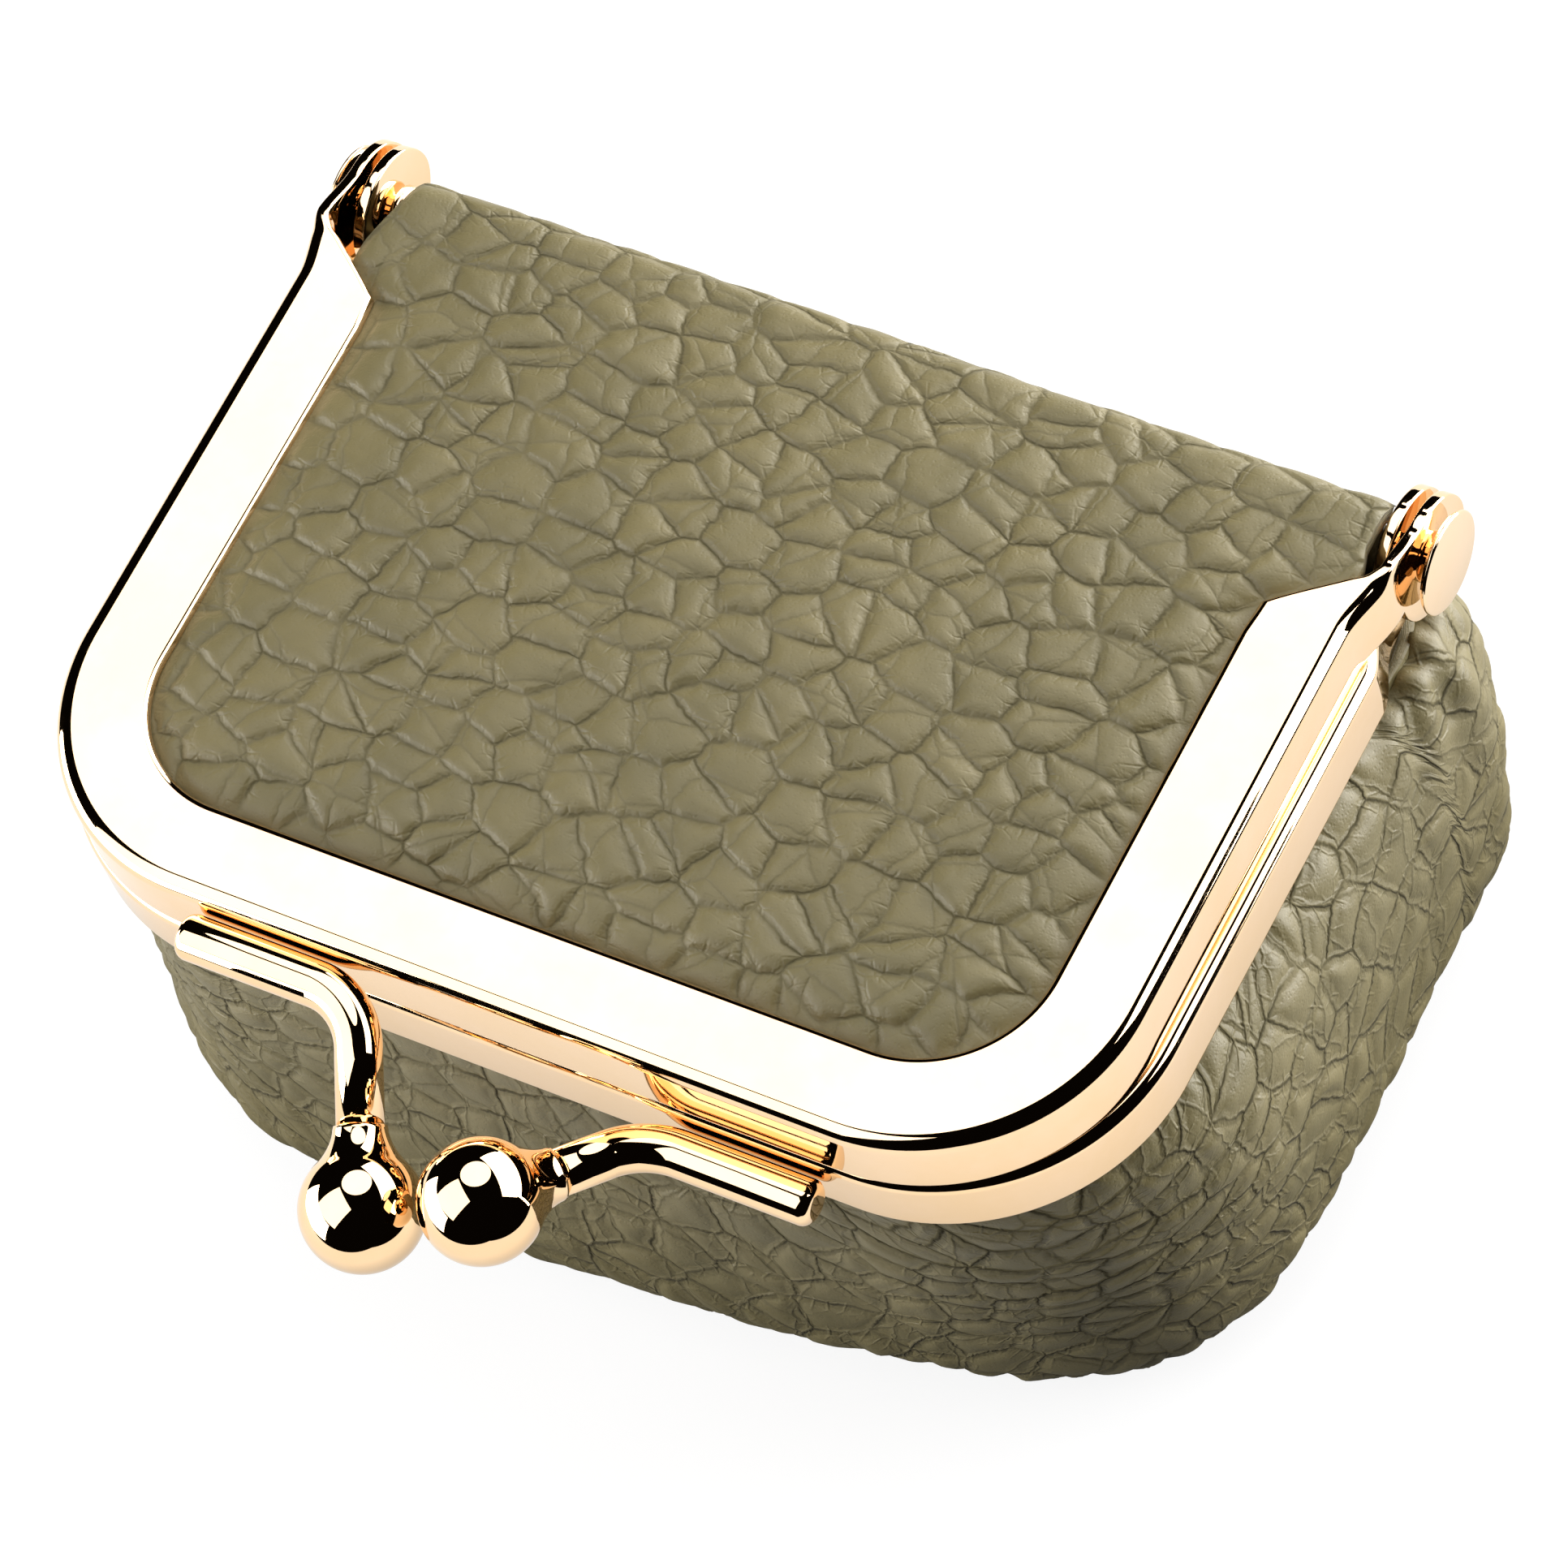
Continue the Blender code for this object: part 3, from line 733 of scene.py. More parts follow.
def cloth_finish(name, light, dark, gap_shade_colour, thread):
    """Plainly woven lining, with painted shade darkening the gaps between its threads."""
    made, tree, shader, tone = toned_material(name, light, dark, scale=220.0)
    woven = use_group(tree, weave, Thread=thread)
    # Painted shade in the gaps between the threads
    feed(tree, shader.inputs["Base Color"], mix_colour(tree, woven["Gap"], tone, gap_shade_colour))
    shader.inputs["Roughness"].default_value = 0.85
    shader.inputs["Sheen Weight"].default_value = 0.3
    bump(tree, shader, woven["Height"], thread / 3)
    return made


def fibre_finish(name, light, dark):
    """Pressed paper fibre of the boards and cords."""
    made, tree, shader, _ = toned_material(name, light, dark, scale=1400.0)
    shader.inputs["Roughness"].default_value = 0.9
    skin = use_group(tree, pores, Pore_Scale=1800.0, Wrinkle_Scale=1500.0)
    bump(tree, shader, skin["Height"], fibre_depth)
    return made


rail_gold = gold_finish("rail_gold", light=(0.97, 0.70, 0.44, 1), dark=(0.95, 0.67, 0.39, 1),
                        smooth=0.03, rubbed=0.07, wave_scale=120.0, wave_height=0.00003)
clasp_gold = gold_finish("clasp_gold", light=(0.96, 0.69, 0.42, 1), dark=(0.94, 0.65, 0.37, 1),
                         smooth=0.015, rubbed=0.04, wave_scale=160.0, wave_height=0.000002)
rivet_gold = gold_finish("rivet_gold", light=(0.97, 0.73, 0.49, 1), dark=(0.95, 0.70, 0.44, 1),
                         smooth=0.05, rubbed=0.10, wave_scale=300.0, wave_height=0.00001)
olive = leather_finish("olive_leather", light=(0.153, 0.127, 0.056, 1), dark=(0.124, 0.104, 0.045, 1),
                       crease_shade_colour=(0.034, 0.028, 0.011, 1))
cloth = cloth_finish("lining_cloth", light=(0.33, 0.29, 0.20, 1), dark=(0.27, 0.24, 0.16, 1),
                     gap_shade_colour=(0.12, 0.10, 0.07, 1), thread=0.00032)
card = fibre_finish("grey_card", light=(0.50, 0.44, 0.35, 1), dark=(0.38, 0.33, 0.26, 1))
paper = fibre_finish("twisted_paper", light=(0.68, 0.59, 0.44, 1), dark=(0.52, 0.44, 0.32, 1))


# The rails


def rail_stations(half, depth, radius):
    """Right half of a rail in plan: x, y and normal, from the middle of the front to the ear's tip."""
    middle = half - radius
    stations = [(middle * i / front_stations, -depth, 0, -1) for i in range(front_stations)]
    for x, y in arc(middle, radius - depth, radius, -1, 0, corner_steps):
        normal = Vector((x - middle, y + depth - radius)).normalized()
        stations.append((x, y, normal.x, normal.y))
    start = radius - depth
    side = [start + (-joggle_start - start) * i / side_stations for i in range(1, side_stations)]
    joggle_run = joggle_start - ear_radius
    side += [-joggle_start + joggle_run * i / joggle_steps for i in range(joggle_steps + 1)]
    side += [-ear_radius * math.cos(math.pi * i / ear_steps) for i in range(1, ear_steps)]
    return stations + [(half, y, 1, 0) for y in side]


def ear_reach(y):
    """Half the height of the round ear at a distance y from the hinge axis."""
    return math.sqrt(max(ear_radius ** 2 - y ** 2, 0))


def rail_edges(y, top, bottom):
    """Drops of the rail's top and bottom edge: straight along the wall, round at the ear."""
    ear_top = hinge_drop - ear_reach(y)
    ear_bottom = hinge_drop + ear_reach(y)
    if y > 0:
        return ear_top, ear_bottom
    if top < hinge_drop - ear_radius:
        top += (hinge_drop - ear_radius - top) * float(smooth_step(y, -joggle_end, 0))
    elif y > -ear_radius:
        top = min(top, ear_top)
    if bottom > hinge_drop + ear_radius:
        bottom += (hinge_drop + ear_radius - bottom) * float(smooth_step(y, -joggle_start, 0))
    elif y > -ear_radius:
        bottom = max(bottom, ear_bottom)
    return top, bottom


def rail_section(lip, fillet, plain, top, bottom):
    """Loop of (inset, drop) round the section: an L with a rounded knee, or the plain wall of the ear."""
    off = min(edge_round, (bottom - top) * most_round_share)
    foot = bottom - off
    inner = max(fillet - sheet, off)
    width = max(lip, sheet + inner + lip_round + 2 * support)
    bent = arc(off, foot, off, 1, 2, edge_steps)
    bent += [(0, foot - support), (0, top + fillet + support)]
    bent += arc(fillet, top + fillet, fillet, 2, 3, fillet_steps)
    bent += [(fillet + support, top), (width - lip_round - support, top)]
    bent += arc(width - lip_round, top + lip_round, lip_round, 3, 4, edge_steps)
    bent += arc(width - off, top + sheet - off, off, 0, 1, edge_steps)
    bent += [(width - off - support, top + sheet), (sheet + inner + support, top + sheet)]
    bent += arc(sheet + inner, top + sheet + inner, inner, 3, 2, fillet_steps)
    bent += [(sheet, top + sheet + inner + support), (sheet, foot - support)]
    bent += arc(sheet - off, foot, off, 0, 1, edge_steps)
    wall = arc(off, foot, off, 1, 2, edge_steps)
    wall += [(0, foot + (top - foot) * plain_run_share), (0, top + off + (foot - top) * plain_run_share)]
    wall += arc(off, top + off, off, 2, 3, fillet_steps)
    wall += [(off + (sheet - 2 * off) * share, top) for share in rim_shares]
    wall += arc(sheet - off, top + off, off, 3, 4, edge_steps)
    rest = len(bent) - len(wall) - edge_steps - 1
    for i in range(rest):
        wall.append((sheet, top + off + (foot - top - off) * (i + 1) / (rest + 1)))
    wall += arc(sheet - off, foot, off, 0, 1, edge_steps)
    return [((1 - plain) * a + plain * c, (1 - plain) * b + plain * d)
            for (a, b), (c, d) in zip(bent, wall)]


def build_rail(name, half, depth, radius, lip, fillet, top, bottom, ear_shift, body):
    """Whole rail, from the tip of the left ear round the front to the tip of the right one."""
    right = []
    for x, y, nx, ny in rail_stations(half, depth, radius):
        edge_top, edge_bottom = rail_edges(y, top, bottom)
        cut = min(max((y + flange_cut_start) / (flange_cut_start - flange_cut_end), 0), 1)
        width = lip + (sheet + edge_round - lip) * cut
        shift = ear_shift * float(smooth_step(y, -joggle_start, -joggle_end))
        plain = float(smooth_step(y, -joggle_end - fillet, -ear_radius + edge_round))
        section = rail_section(width, fillet, plain, edge_top, edge_bottom)
        right.append([(x + shift * nx - inset * nx, y - inset * ny, drop) for inset, drop in section])
    left = [[(-x, y, drop) for x, y, drop in loop] for loop in reversed(right[1:])]
    loops = left + right
    points = [at(*spot) for loop in loops for spot in loop]
    return piece(name + "_plated", points, ring_faces(len(loops), len(loops[0])), rail_gold, body,
                 (name,))


def build_rails():
    build_rail("upper_frame", half_width, frame_depth, corner_radius, flange_width, upper_fillet,
               0, lower_top_drop - shown_rail_gap, upper_ear_shift, "lid")
    build_rail("lower_frame", half_width + side_step, frame_depth + front_step, corner_radius + side_step,
               web_width, lower_fillet, lower_top_drop, lower_bottom_drop, lower_ear_shift, "body")


def build_rivets():
    """Flat-headed rivets: domed head on a shoulder outside, shank through both ears, flared tail inside."""
    tail = lower_ear_inner - rivet_gap - rivet_tail_height
    shoulder = upper_ear_face + rivet_gap
    head = shoulder + rivet_shoulder_height
    rim = head + rivet_head_height
    tail_end = tail + rivet_tail_height
    flat = rivet_head_radius - rivet_head_edge
    profile = [(edge_round, tail), (rivet_tail_radius - edge_round, tail)]
    profile += arc(rivet_tail_radius - edge_round, tail + edge_round, edge_round, -1, 0, edge_steps)
    profile += [(rivet_tail_radius, tail_end - support), (rivet_tail_radius - support, tail_end)]
    profile += [(shank_radius, tail_end), (shank_radius, shoulder)]
    profile += [(rivet_shoulder_radius - support, shoulder), (rivet_shoulder_radius, shoulder + support)]
    profile += [(rivet_shoulder_radius, head), (flat, head)]
    profile += arc(flat, rim - rivet_head_edge, rivet_head_edge, -1, 1, rivet_edge_steps)
    for share in rivet_head_shares:
        profile.append((flat * share, rim + rivet_head_dome * (1 - share * share)))
    for side, name in ((-1, "rivet_left"), (1, "rivet_right")):
        points, faces = turned_points(profile, at(0, 0, hinge_drop), Vector((side, 0, 0)))
        piece(name + "_plated", points, faces, rivet_gold, "body", (name,))


# The clasp


def build_arm(name, side, bend_x, arm_drop, wall, centre, body):
    """Round bar soldered to a rail's wall and bent once, towards its ball. Returns its leg's direction."""
    rod_y = -wall - solder_gap - rod_radius
    start = at(side * arm_end_x, rod_y, arm_drop)
    corner = at(side * bend_x, rod_y, arm_drop)
    first = (corner - start).normalized()
    second = (centre - corner).normalized()
    turn = first.angle(second)
    inward = (second - first * first.dot(second)).normalized()
    pivot = corner - first * (arm_bend_radius * math.tan(turn / 2)) + inward * arm_bend_radius
    line = []
    radii = []
    for along, across in arc(0, 0, rod_end_round, 0, 1, rod_end_steps):
        line.append(start + first * (rod_end_round - along))
        radii.append(rod_radius - rod_end_round + across)
    straight = (pivot - inward * arm_bend_radius - line[-1]).length
    line.append(line[-1] + first * (straight / 2))
    radii.append(rod_radius)
    for i in range(bend_steps + 1):
        angle = turn * i / bend_steps
        line.append(pivot + (first * math.sin(angle) - inward * math.cos(angle)) * arm_bend_radius)
        radii.append(rod_radius)
    line.append(centre - second * (ball_radius + collar_length + solder_gap))
    radii.append(rod_radius)
    points, faces = tube_points(line, radii)
    piece(name + "_plated", points, faces, clasp_gold, body, (name,))
    return second


def ball_profile():
    """Ball with the flared collar that the arm runs into, the collar towards +axis."""
    flare = math.acos(collar_radius / ball_radius)
    profile = []
    for i in range(1, ball_steps + 1):
        angle = -math.pi / 2 + (flare + math.pi / 2) * i / ball_steps
        profile.append((ball_radius * math.cos(angle), ball_radius * math.sin(angle)))
    start = profile[-1]
    end = (collar_neck_radius, ball_radius + collar_length)
    for i in range(1, collar_steps + 1):
        share = i / collar_steps
        along = start[1] + (end[1] - start[1]) * share
        profile.append((end[0] + (start[0] - end[0]) * (1 - share) ** 2, along))
    profile += [(collar_neck_radius - support, end[1]), (edge_round, end[1])]
    return profile


def build_clasp():
    """Bent arms on the two rails: the upper one on the left, the lower one on the right."""
    clasp = (("upper", -1, upper_bend_x, upper_arm_drop, frame_depth,
              upper_ball_reach, upper_ball_drop, "lid"),
             ("lower", 1, lower_bend_x, lower_arm_drop, frame_depth + front_step,
              lower_ball_reach, lower_ball_drop, "body"))
    for rail, side, bend_x, arm_drop, wall, reach, drop, body in clasp:
        centre = at(side * ball_x, -frame_depth - reach, drop)
        leg = build_arm("clasp_arm_" + rail, side, bend_x, arm_drop, wall, centre, body)
        name = "clasp_ball_" + rail
        points, faces = turned_points(ball_profile(), centre, -leg)
        piece(name + "_plated", points, faces, clasp_gold, body, (name,))


# Pebble grain


def measure_grain(places):
    """Roundness of the pebbles at places of the grain. The leather's creases come from the same nodes."""
    mesh = bpy.data.meshes.new("grain_probe")
    mesh.vertices.add(len(places))
    mesh.attributes.new("grain_place", "FLOAT_VECTOR", "POINT").data.foreach_set("vector", places.ravel())
    tree = bpy.data.node_groups.new("grain_probe", "GeometryNodeTree")
    for way in ("INPUT", "OUTPUT"):
        tree.interface.new_socket("Geometry", in_out=way, socket_type="NodeSocketGeometry")
    place = new_node(tree, "GeometryNodeInputNamedAttribute", data_type="FLOAT_VECTOR")
    place.inputs["Name"].default_value = "grain_place"
    store = new_node(tree, "GeometryNodeStoreNamedAttribute", data_type="FLOAT", domain="POINT")
    feed(tree, store.inputs["Geometry"], tree.nodes.new("NodeGroupInput").outputs[0])
    store.inputs["Name"].default_value = "pillow"
    feed(tree, store.inputs["Value"], pillow_nodes(tree, place.outputs["Attribute"]))
    feed(tree, tree.nodes.new("NodeGroupOutput").inputs[0], store.outputs["Geometry"])
    probe = add_object("grain_probe", mesh)
    probe.modifiers.new("grain", "NODES").node_group = tree
    measured = probe.evaluated_get(bpy.context.evaluated_depsgraph_get()).to_mesh()
    found = np.zeros(len(places), np.float32)
    measured.attributes["pillow"].data.foreach_get("value", found)
    bpy.data.objects.remove(probe, do_unlink=True)
    bpy.data.node_groups.remove(tree)
    return found.astype(float)


def waves(points, length, seed):
    """Smooth wandering values, mostly from -1 to 1, made of a few crossed sine waves."""
    rng = np.random.default_rng(seed)
    total = np.zeros(len(points))
    for _ in range(wave_count):
        direction = rng.normal(size=3)
        direction /= np.linalg.norm(direction)
        rate = math.tau / (length * rng.uniform(*wave_spread))
        total += np.sin(points @ direction * rate + rng.uniform(0, math.tau))
    return total / wave_sum


def grid_normals(points):
    """Unit normals of a grid of points, rows first."""
    return unit(np.cross(np.gradient(points, axis=1), np.gradient(points, axis=0)))


def ring_normals(points):
    """Unit normals of closed rows of points, outwards."""
    across = np.roll(points, -1, axis=1) - np.roll(points, 1, axis=1)
    return unit(np.cross(across, np.gradient(points, axis=0)))


def set_grain(thing, places, shown):
    """Keeps on the mesh where each point lies in the grain and how much grain shows there.

    The leather's material reads both. The inner points, which come after the outer ones, lie in the
    grain at their own place and show a little of it.
    """
    mesh = thing.data
    count = len(mesh.vertices)
    spots = np.zeros((count, 3), np.float32)
    mesh.vertices.foreach_get("co", spots.ravel())
    spots[:len(places)] = places
    mesh.attributes.new("grain_place", "FLOAT_VECTOR", "POINT").data.foreach_set("vector", spots.ravel())
    amounts = np.full(count, inner_grain, np.float32)
    amounts[:len(shown)] = shown
    mesh.attributes.new("grain_shown", "FLOAT", "POINT").data.foreach_set("value", amounts)


# The lid's leather, which rolls over the hinge line and hangs down the back


def spaced(stops):
    """Places between stops, each stretch with its own spacing and a whole number of coarse steps."""
    places = [stops[0][0]]
    for (low, _), (high, step) in zip(stops, stops[1:]):
        count = max(1, round((high - low) / step / coarse_every)) * coarse_every
        places += [low + (high - low) * (i + 1) / count for i in range(count)]
    return np.array(places)


def strip_line():
    """Side view of the strip as (y, drop) points, from the lid's front edge to the foot of the back."""
    top = under_flange - lid_crown
    line = [(-frame_depth + skin_inset, top)]
    line += arc(back_plane - roll_radius, top + roll_radius, roll_radius, 3, 4, roll_steps)
    start = lower_bottom_drop
    depth = lid_top - back_foot_height - start
    for share in np.linspace(0, 1, back_steps):
        swell = back_swell * float(eased_table(share, back_depth_shares, back_swell_shares))
        line.append((back_plane + swell, start + depth * share))
    return np.array(line)


def strip_edges(y, run, lid_run):
    """The strip's left and right half widths: the U of the rail on the lid, then narrower between the ears.

    The right edge lies close to the ear until it is over the roll. The left one has shrunk away from it.
    """
    half = half_width - skin_inset
    radius = corner_radius - skin_inset
    front = frame_depth - skin_inset
    bite = np.clip(radius - (y + front), 0, radius)
    rounded = half - radius + np.sqrt(np.maximum(radius ** 2 - bite ** 2, 0))
    share = smooth_step(y, -joggle_start, shoulder_length - joggle_start)
    share = np.where(run > lid_run, 1, share)
    left = strip_half_width - strip_neck * np.exp(-((run - lid_run - roll_radius) / neck_reach) ** 2)
    beside_ear = smooth_step(y, -joggle_end, shoulder_length - joggle_end)
    close = half + (lower_ear_inner - strip_ear_gap - half) * beside_ear
    over = lid_run + roll_radius * over_roll_share
    right = close + (strip_half_width - close) * smooth_step(run, over, over + roll_radius / 2)
    return rounded + (left - rounded) * share, rounded + (right - rounded) * share


def window_distance(x, y):
    """How far inside the opening of the upper flange a place on the lid lies."""
    half = half_width - flange_width
    radius = corner_radius - flange_width
    front = frame_depth - flange_width
    slope = (flange_width - sheet) / (flange_cut_start - flange_cut_end)
    wide = half + np.maximum(y + flange_cut_start, 0) * slope
    side = wide - np.abs(x)
    ahead = y + front
    in_corner = (side < radius) & (ahead < radius)
    corner = radius - np.hypot(radius - side, radius - ahead)
    return np.where(in_corner, corner, np.minimum(side, ahead))


def make_shell(name, outer, under, rows, cols, body, stands_for):
    """Closed sheet: a fine outer grid, a coarse inner one, and walls that join every few outer points."""
    faces = []
    for r in range(rows - 1):
        for c in range(cols - 1):
            a = r * cols + c
            faces.append((a, a + 1, a + cols + 1, a + cols))
    r_coarse = range(0, rows, coarse_every)
    c_coarse = range(0, cols, coarse_every)
    inner = under[::coarse_every, ::coarse_every].reshape(-1, 3)
    wide = len(c_coarse)
    start = rows * cols
    for r in range(len(r_coarse) - 1):
        for c in range(wide - 1):
            a = start + r * wide + c
            faces.append((a, a + wide, a + wide + 1, a + 1))
    last = (len(r_coarse) - 1) * wide
    for c in range(wide - 1):
        run = [c * coarse_every + k for k in range(coarse_every + 1)]
        faces.append((*reversed(run), start + c, start + c + 1))
        run = [(rows - 1) * cols + k for k in run]
        faces.append((*run, start + last + c + 1, start + last + c))
    for r in range(len(r_coarse) - 1):
        run = [(r * coarse_every + k) * cols for k in range(coarse_every + 1)]
        faces.append((*run, start + (r + 1) * wide, start + r * wide))
        run = [k + cols - 1 for k in run]
        faces.append((*reversed(run), start + r * wide + wide - 1, start + (r + 1) * wide + wide - 1))
    return piece(name, np.concatenate([outer, inner]), faces, olive, body, stands_for)


def lid_relief(x, y, inside):
    """How far the leather sinks at the rim of the lid's window, less its rise as a dome over the middle."""
    on_lid = 1 - smooth_step(y, -joggle_start, -joggle_end)
    crown = smooth_step(inside, -seat_gap, crown_slope)
    lid_half = (frame_depth - flange_width + back_plane - roll_radius) / 2
    from_middle = (y + frame_depth - flange_width - lid_half) / lid_half
    bulge = np.maximum(1 - from_middle ** 2, 0) * np.maximum(1 - (x / half_width) ** 2, 0)
    return lid_crown * (1 - crown) * on_lid - lid_dome * bulge


def strip_places(x, run):
    """Places of the strip's points in the grain, which is turned a little and drawn out sideways."""
    turn_x = math.cos(pebble_turn)
    turn_y = math.sin(pebble_turn)
    across = (x * turn_x + run * turn_y) / pebble_stretch
    return np.stack([across, run * turn_x - x * turn_y, x * 0], axis=-1).reshape(-1, 3)


def build_strip():
    """One skin from the front of the lid, over the roll, to the foot of the back."""
    line = strip_line()
    lengths = run_lengths(line)
    lid_run = frame_depth - skin_inset + back_plane - roll_radius
    roll_run = lid_run + roll_radius * math.pi / 2
    fine_start = flange_width - skin_inset - 2 * seat_gap
    runs = spaced([(0, 0), (fine_start, strip_edge_grid), (roll_run + roll_radius, fine_grid),
                   (lengths[-1], strip_back_grid)])[:, None]
    window = (half_width - flange_width - seat_gap) / strip_half_width
    fine_share = fine_grid / strip_half_width
    half_shares = spaced([(0, 0), (window, fine_share), (1, 2 * fine_share)])
    shares = np.concatenate([-half_shares[:0:-1], half_shares])
    y = np.interp(runs, lengths, line[:, 0])
    drop = np.interp(runs, lengths, line[:, 1])
    left, right = strip_edges(y, runs, lid_run)
    half = np.where(shares < 0, left, right)
    x = half * shares
    run = np.broadcast_to(runs, x.shape)
    inside = window_distance(x, y)
    sunk = lid_relief(x, y, inside) * (runs < roll_run)
    edge = half * (1 - np.abs(shares))
    thin = 1 - smooth_step(edge, 0, skived_edge)
    foot = 1 - smooth_step(lengths[-1] - runs, 0, skived_edge)
    skived = np.maximum(thin, foot) * (runs > roll_run) * (leather - skived_thickness)
    pressed = y - skived * smooth_step(runs, roll_run, roll_run + neck_reach)
    base = world_points(x, pressed, drop + sunk)
    normal = grid_normals(base)
    flat = base.reshape(-1, 3)
    places = strip_places(x, run)
    height = lid_pillow * measure_grain(places) + lid_wave_height * waves(flat, lid_wave, lid_seed)
    height *= 1 - roll_calm * np.exp(-((run.reshape(-1) - roll_run) / neck_reach) ** 2)
    shown = np.where(y < -flange_cut_end, smooth_step(inside, -seat_gap, 4 * seat_gap), 1).reshape(-1)
    height = height * shown * smooth_step(edge.reshape(-1), 0, 2 * seat_gap)
    outer = flat + normal.reshape(-1, 3) * height[:, None]
    under = base - normal * (leather - skived)[..., None]
    rows, cols = x.shape
    strip = make_shell("lid_and_back_leather", outer, under, rows, cols, None,
                       ("lid_leather", "back_leather"))
    set_grain(strip, places, shown)
    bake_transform(strip)


# The body's leather and lining


def plan_loop(half, front, front_radius, rear, rear_radius, count):
    """Rounded rectangle in plan as count points at even steps, from the middle of the back round by +X."""
    outline = [(0, rear)]
    outline += arc(half - rear_radius, rear - rear_radius, rear_radius, 1, 0, plan_rear_steps)
    outline += arc(half - front_radius, front_radius - front, front_radius, 0, -1, plan_front_steps)
    outline += [(0, -front)]
    outline += [(-x, y) for x, y in reversed(outline[1:-1])]
    outline.append(outline[0])
    outline = np.array(outline)
    lengths = run_lengths(outline)
    places = np.arange(count) * lengths[-1] / count
    return np.stack([np.interp(places, lengths, side) for side in outline.T], axis=1)


def body_surface(inset, floor, count, row_step):
    """Rows of points over the bowl from its rim to the edge of its flat bottom."""
    edge = base_edge_radius
    base = lid_top - floor
    depth = base - lower_bottom_drop - edge
    straight = np.arange(bowl_top_drop, base - edge, row_step)
    turn = np.linspace(0, math.pi / 2, max(least_turn_rows, round(edge * math.pi / 2 / row_step)))
    drops = np.concatenate([straight, base - edge * (1 - np.sin(turn))])
    drawn = np.concatenate([np.zeros(len(straight)), edge * (1 - np.cos(turn))])
    rows = []
    for drop, pull in zip(drops, drawn):
        share = (drop - lower_bottom_drop) / (lid_top - lower_bottom_drop)
        side = float(eased_table(share, depth_shares, side_swell_shares))
        ahead = float(eased_table(share, depth_shares, front_swell_shares))
        half = half_width + side_step - inset + side_swell * side - pull
        front = frame_depth + front_step - inset + front_swell * ahead - pull
        radius = corner_radius + side_step - inset + front_corner_growth * side - pull
        back_share = (drop - lower_bottom_drop) / (lid_top - back_foot_height - lower_bottom_drop)
        swell = back_swell * float(eased_table(back_share, back_depth_shares, back_swell_shares))
        rear = back_plane + swell - pull - (inset - skin_inset)
        rear_radius = back_corner_radius + pull * rear_corner_share
        loop = plan_loop(half, front, radius, rear, rear_radius, count)
        sunk = (rear - (bowl_back - (inset - skin_inset) - pull)) * (
            1 - smooth_step(np.abs(loop[:, 0]), strip_half_width - skived_edge, strip_half_width + leather))
        loop[:, 1] -= sunk * smooth_step(loop[:, 1], -back_corner_radius, 0)
        rear_drop = max(drop, mouth_back_rim_drop + (drop - bowl_top_drop) * rear_rim_share)
        share = smooth_step(loop[:, 1], -joggle_start - shoulder_length, -joggle_start)
        rows.append(world_points(loop[:, 0], loop[:, 1], drop + (rear_drop - drop) * share))
    rows = np.array(rows)
    outwards = ring_normals(rows)
    push = np.zeros(rows.shape[:2])
    for (x, y, drop), reach, amount in body_bulges:
        away = ((rows - np.array(at(x, y, drop))) / reach) ** 2
        push += amount * np.exp(-away.sum(axis=-1))
    rows = rows + outwards * push[..., None]
    rows[..., 2] = np.maximum(rows[..., 2], floor)
    return rows


def bowl_faces(rows, count, start, flip):
    """Faces of closed rows of points and of the bottom that the last row borders."""
    faces = []
    for r in range(rows - 1):
        for i in range(count):
            j = (i + 1) % count
            quad = (r * count + i, r * count + j, (r + 1) * count + j, (r + 1) * count + i)
            faces.append([start + corner for corner in quad])
    faces.append([start + (rows - 1) * count + i for i in range(count)])
    return [tuple(reversed(face)) if flip else tuple(face) for face in faces]


def double_bowl_faces(rows, inner_rows, count, every):
    """Faces of a bowl: its outside, its inside with a point to every few outer ones, and the rim."""
    inner_count = count // every
    start = rows * count
    faces = bowl_faces(rows, count, 0, True) + bowl_faces(inner_rows, inner_count, start, False)
    for i in range(inner_count):
        run = [(i * every + k) % count for k in range(every + 1)]
        faces.append((*run, start + (i + 1) % inner_count, start + i))
    return faces


def folds(points, y, drop):
    """Soft folds of the stretched skin: gathers under the hinges and long creases at the front corners."""
    x = np.abs(points[:, 0])
    back = y + gather_back
    down = drop - hinge_drop
    near = smooth_step(x, *gather_sides) * smooth_step(y, *gather_behind)
    fade = np.exp(-((np.hypot(back, down) - gather_reach) / gather_fade) ** 2)
    rays = np.arctan2(back, down) * gather_rays + waves(points, gather_wave, gather_seed)
    gathers = np.sin(rays) * fade * near
    corner = smooth_step(x, *crease_sides) * smooth_step(-y, *crease_ahead)
    wander = crease_wander * waves(points, crease_wave, crease_seed)
    creases = np.sin(drop * math.tau / crease_spacing + wander)
    creases *= corner * np.exp(-((drop - crease_drop) / crease_fade) ** 2)
    slack = waves(points, slack_wave, slack_seed)
    return gather_height * gathers + crease_height * creases + slack_height * slack


def set_cloth_map(thing, across, along, girth=0):
    """Places in metres along the cloth, for its weave. With a girth they run on where a ring closes."""
    mesh = thing.data
    layer = mesh.uv_layers.new(name="cloth")
    corners = np.zeros(len(mesh.loops), int)
    mesh.loops.foreach_get("vertex_index", corners)
    u = across[corners]
    if girth:
        starts = np.zeros(len(mesh.polygons), int)
        counts = np.zeros(len(mesh.polygons), int)
        mesh.polygons.foreach_get("loop_start", starts)
        mesh.polygons.foreach_get("loop_total", counts)
        furthest = np.repeat(np.maximum.reduceat(u, starts), counts)
        u = np.where(furthest - u > girth / 2, u + girth, u)
    layer.data.foreach_set("uv", np.stack([u, along[corners]], axis=1).ravel())


